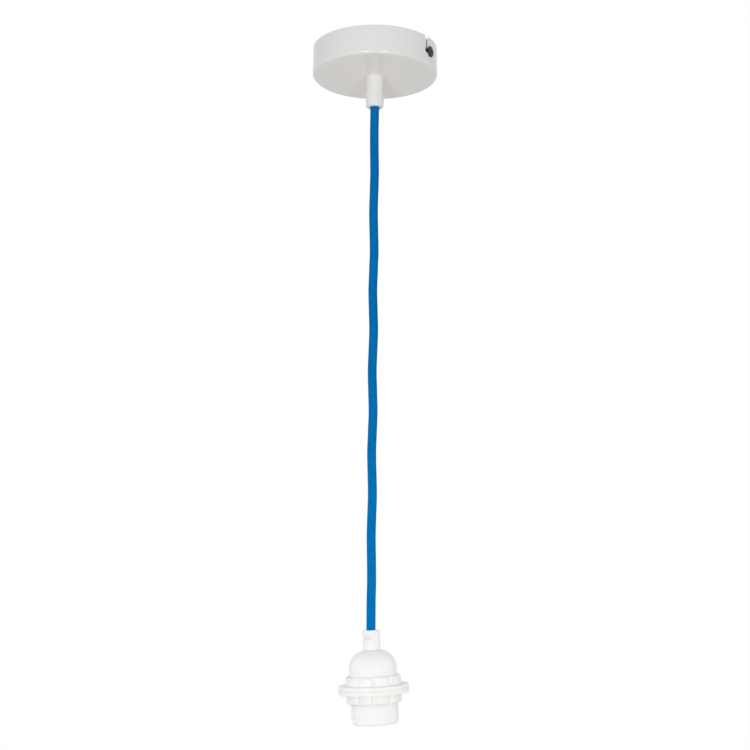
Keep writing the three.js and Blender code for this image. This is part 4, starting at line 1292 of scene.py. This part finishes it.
pillar_low = -INSERT_TOP + 2 * GAP + METAL
pillar_high = pillar_low + PILLAR_HEIGHT
pillar_wire = pillar_high - PILLAR_WIRE_DROP
for label, angle in (("live", 0), ("neutral", 180)):
    body = block(PILLAR_SIZE, PILLAR_SIZE, pillar_low, pillar_high, PILLAR_FILLET)
    wire_hole = rod(PILLAR_WIRE_BORE, -PILLAR_SIZE, PILLAR_SIZE * PILLAR_WIRE_SHARE)
    moved(wire_hole, turn(90, "Y"), shift(0, 0, pillar_wire))
    screw_hole = rod(M3_RADIUS + GAP, pillar_wire, pillar_high + OVERCUT)
    body = cut(softened(body, SMALL_EDGE), wire_hole, screw_hole)
    moved(body, shift(PILLAR_X, 0, 0), turn(angle))
    show(f"pillar_{label}", "brass", body, HOLDER, f"terminal_pillar_{label}")
    screw = grub_screw(M3_RADIUS, PILLAR_SCREW_LENGTH)
    foot = shift(PILLAR_X, 0, pillar_wire + CORE_RADIUS + GAP)
    moved(screw, turn(PILLAR_SCREW_TURN + angle / 3), foot, turn(angle))
    show(f"pillar_grub_{label}", "zinc_steel", screw, HOLDER, f"pillar_screw_{label}")


# Sheaths and cores at both ends of the cord

sheath_top = -CUP_HEIGHT + GRIP_NIPPLE + SHEATH_PAST_TOP
sheath_end = HOLDER_GRIP_LENGTH + HOLDER_NIPPLE + SHEATH_PAST_BOTTOM
for name, low, high, place in (
    ("top", -CUP_HEIGHT - GRIP_STOP + GAP, sheath_top, UPRIGHT),
    ("bottom", -sheath_end, -HOLDER_GRIP_LENGTH + GRIP_STOP - GAP, HOLDER),
):
    sheath = turned(fillets([
        (0, low), (SHEATH_RADIUS, low, SHEATH_EDGE), (SHEATH_RADIUS, high, SHEATH_EDGE), (0, high),
    ]), 48)
    show(f"sheath_{name}", "white_sheath", sheath, place, f"inner_sheath_{name}")


def core(name, slot, route, place, replaced):
    mesh, _ = sweep(spline(route, CORE_SPACING), CORE_RADIUS, 20)
    show(name, slot, mesh, place, replaced, crease=60)


core_start = sheath_top + 2 * GAP
core_end = POLE_YS[0] + 3
core_entry = STRIP_Y - STRIP_DEPTH / 2 - GAP
core("lead_live_top", "brown_core", [
    (-1.3, 0, core_start),
    (-1.7, 0.4, core_start + 1.6),
    (pole_x(0) * 0.42, core_entry * 0.29, POLE_Z - 0.9),
    (pole_x(0) * 0.76, core_entry * 0.63, POLE_Z - 0.1),
    (pole_x(0), core_entry, POLE_Z),
    (pole_x(0), core_end, POLE_Z),
], BRACKET, "core_live_top")
core("lead_neutral_top", "blue_core", [
    (1.3, 0, core_start),
    (1.4, 0.5, core_start + 1.7),
    (1, core_entry * 0.3, POLE_Z - 0.8),
    (0.3, core_entry * 0.66, POLE_Z),
    (pole_x(1), core_entry, POLE_Z),
    (pole_x(1), core_end, POLE_Z),
], BRACKET, "core_neutral_top")
wire_x = EARTH_PLACE[0]
wire_y = EARTH_PLACE[1] - LUG_BARREL_START
loop_y = wire_y - LUG_BARREL_LENGTH - 1.5
core("lead_earth", "earth_core", [
    (wire_x, wire_y - 1.6, lug_wire_z),
    (wire_x, loop_y, lug_wire_z - 0.1),
    (wire_x + LOOP_REACH * 0.24, loop_y - LOOP_RUN * 0.92, -LOOP_DROP * 0.55),
    (wire_x + LOOP_REACH * 0.76, loop_y - LOOP_RUN, -LOOP_DROP * 0.85),
    (wire_x + LOOP_REACH, loop_y + 0.5, -LOOP_DROP),
    (wire_x + LOOP_REACH * 0.72, loop_y + 8.5, -LOOP_DROP * 0.96),
    (wire_x + LOOP_REACH * 0.08, core_entry * 0.21, -LOOP_DROP * 0.84),
    (pole_x(2) + 0.3, core_entry * 0.71, POLE_Z - 0.1),
    (pole_x(2), core_entry, POLE_Z),
    (pole_x(2), core_end, POLE_Z),
], BRACKET, "earth_lead")
for label, slot, side in (("live", "brown_core", 1), ("neutral", "blue_core", -1)):
    core(f"lead_{label}_bottom", slot, [
        (side * 1.3, 0, -sheath_end - 2 * GAP),
        (side * 1.8, 0, -sheath_end - 2 * GAP - 1.3),
        (side * 3.2, 0, pillar_wire + 1.1),
        (side * 5.3, 0, pillar_wire),
        (side * (PILLAR_X + 1), 0, pillar_wire),
    ], HOLDER, f"core_{label}_bottom")


# Studio, in metres: a white world, a pale floor, two soft lamps in front and four small ones round the
# lampholder. The world lights the object at its level and shows white, and the floor is lifted to match.

WORLD_LEVEL = 0.5
FLOOR_LIFT = 0.35
FLOOR_Z = -1.5
FLOOR_RADIUS = 5


def seen_directly(tree):
    """1 for the rays that show the background itself, and 0 for those that only carry its light."""
    rays = node(tree, "LightPath").outputs
    calc = calculator(tree)
    seen = calc("MAXIMUM", rays["Is Camera Ray"], rays["Is Glossy Ray"])
    return calc("MAXIMUM", seen, rays["Is Transmission Ray"])


def studio_world():
    world = bpy.data.worlds.new("studio")
    world.use_nodes = True
    bpy.context.scene.world = world
    tree = world.node_tree
    tree.nodes.clear()
    level = calculator(tree)("MULTIPLY_ADD", seen_directly(tree), 1 - WORLD_LEVEL, WORLD_LEVEL)
    light = node(tree, "Background", Color=(1, 1, 1, 1), Strength=level)
    output = node(tree, "OutputWorld")
    tree.links.new(light.outputs["Background"], output.inputs["Surface"])


def studio_floor():
    shape = bmesh.new()
    bmesh.ops.create_circle(shape, cap_ends=True, radius=FLOOR_RADIUS, segments=128)
    ground = placed(meshed(shape), "floor")
    ground.location.z = FLOOR_Z
    tree, shader = material("floor")
    tint = blend(tree, grain(tree, 3), (0.93, 0.915, 0.9), (0.95, 0.935, 0.92))
    tree.links.new(tint, shader.inputs["Base Color"])
    shader.inputs["Roughness"].default_value = 0.9
    shader.inputs["Emission Color"].default_value = (1, 0.97, 0.94, 1)
    lift = calculator(tree)("MULTIPLY", seen_directly(tree), FLOOR_LIFT)
    tree.links.new(lift, shader.inputs["Emission Strength"])
    ground.data.materials.append(SURFACES["floor"])


def lamp(name, place, target, width, height, power, spread=180):
    """A soft lamp, with its power in watts and its spread in degrees."""
    data = bpy.data.lights.new(name, "AREA")
    data.shape = "RECTANGLE"
    data.size = width
    data.size_y = height
    data.energy = power
    data.spread = radians(spread)
    made = placed(data, name)
    made.location = place
    made.rotation_euler = (Vector(target) - Vector(place)).to_track_quat("-Z", "Y").to_euler()


studio_world()
studio_floor()
lamp("left_lamp", (-0.48, -1.5, -0.58), (0, 0, -0.25), 0.36, 0.4, 6.5)
lamp("right_lamp", (0.53, -1.45, -0.58), (0, 0, -0.25), 0.4, 0.42, 3.8)
lamp("low_left_lamp", (-0.54, -0.04, -0.37), (0, 0, -0.58), 0.4, 0.4, 0.115, 40)
lamp("low_right_lamp", (0.54, -0.04, -0.37), (0, 0, -0.58), 0.4, 0.4, 0.115, 40)
lamp("low_front_lamp", (0, -0.5, -0.95), (0, 0, -0.6), 0.3, 0.3, 0.015, 40)
lamp("high_front_lamp", (0, -0.36, -0.2), (0, 0, -0.54), 0.3, 0.3, 0.01, 30)

bpy.context.scene.view_settings.view_transform = "Standard"
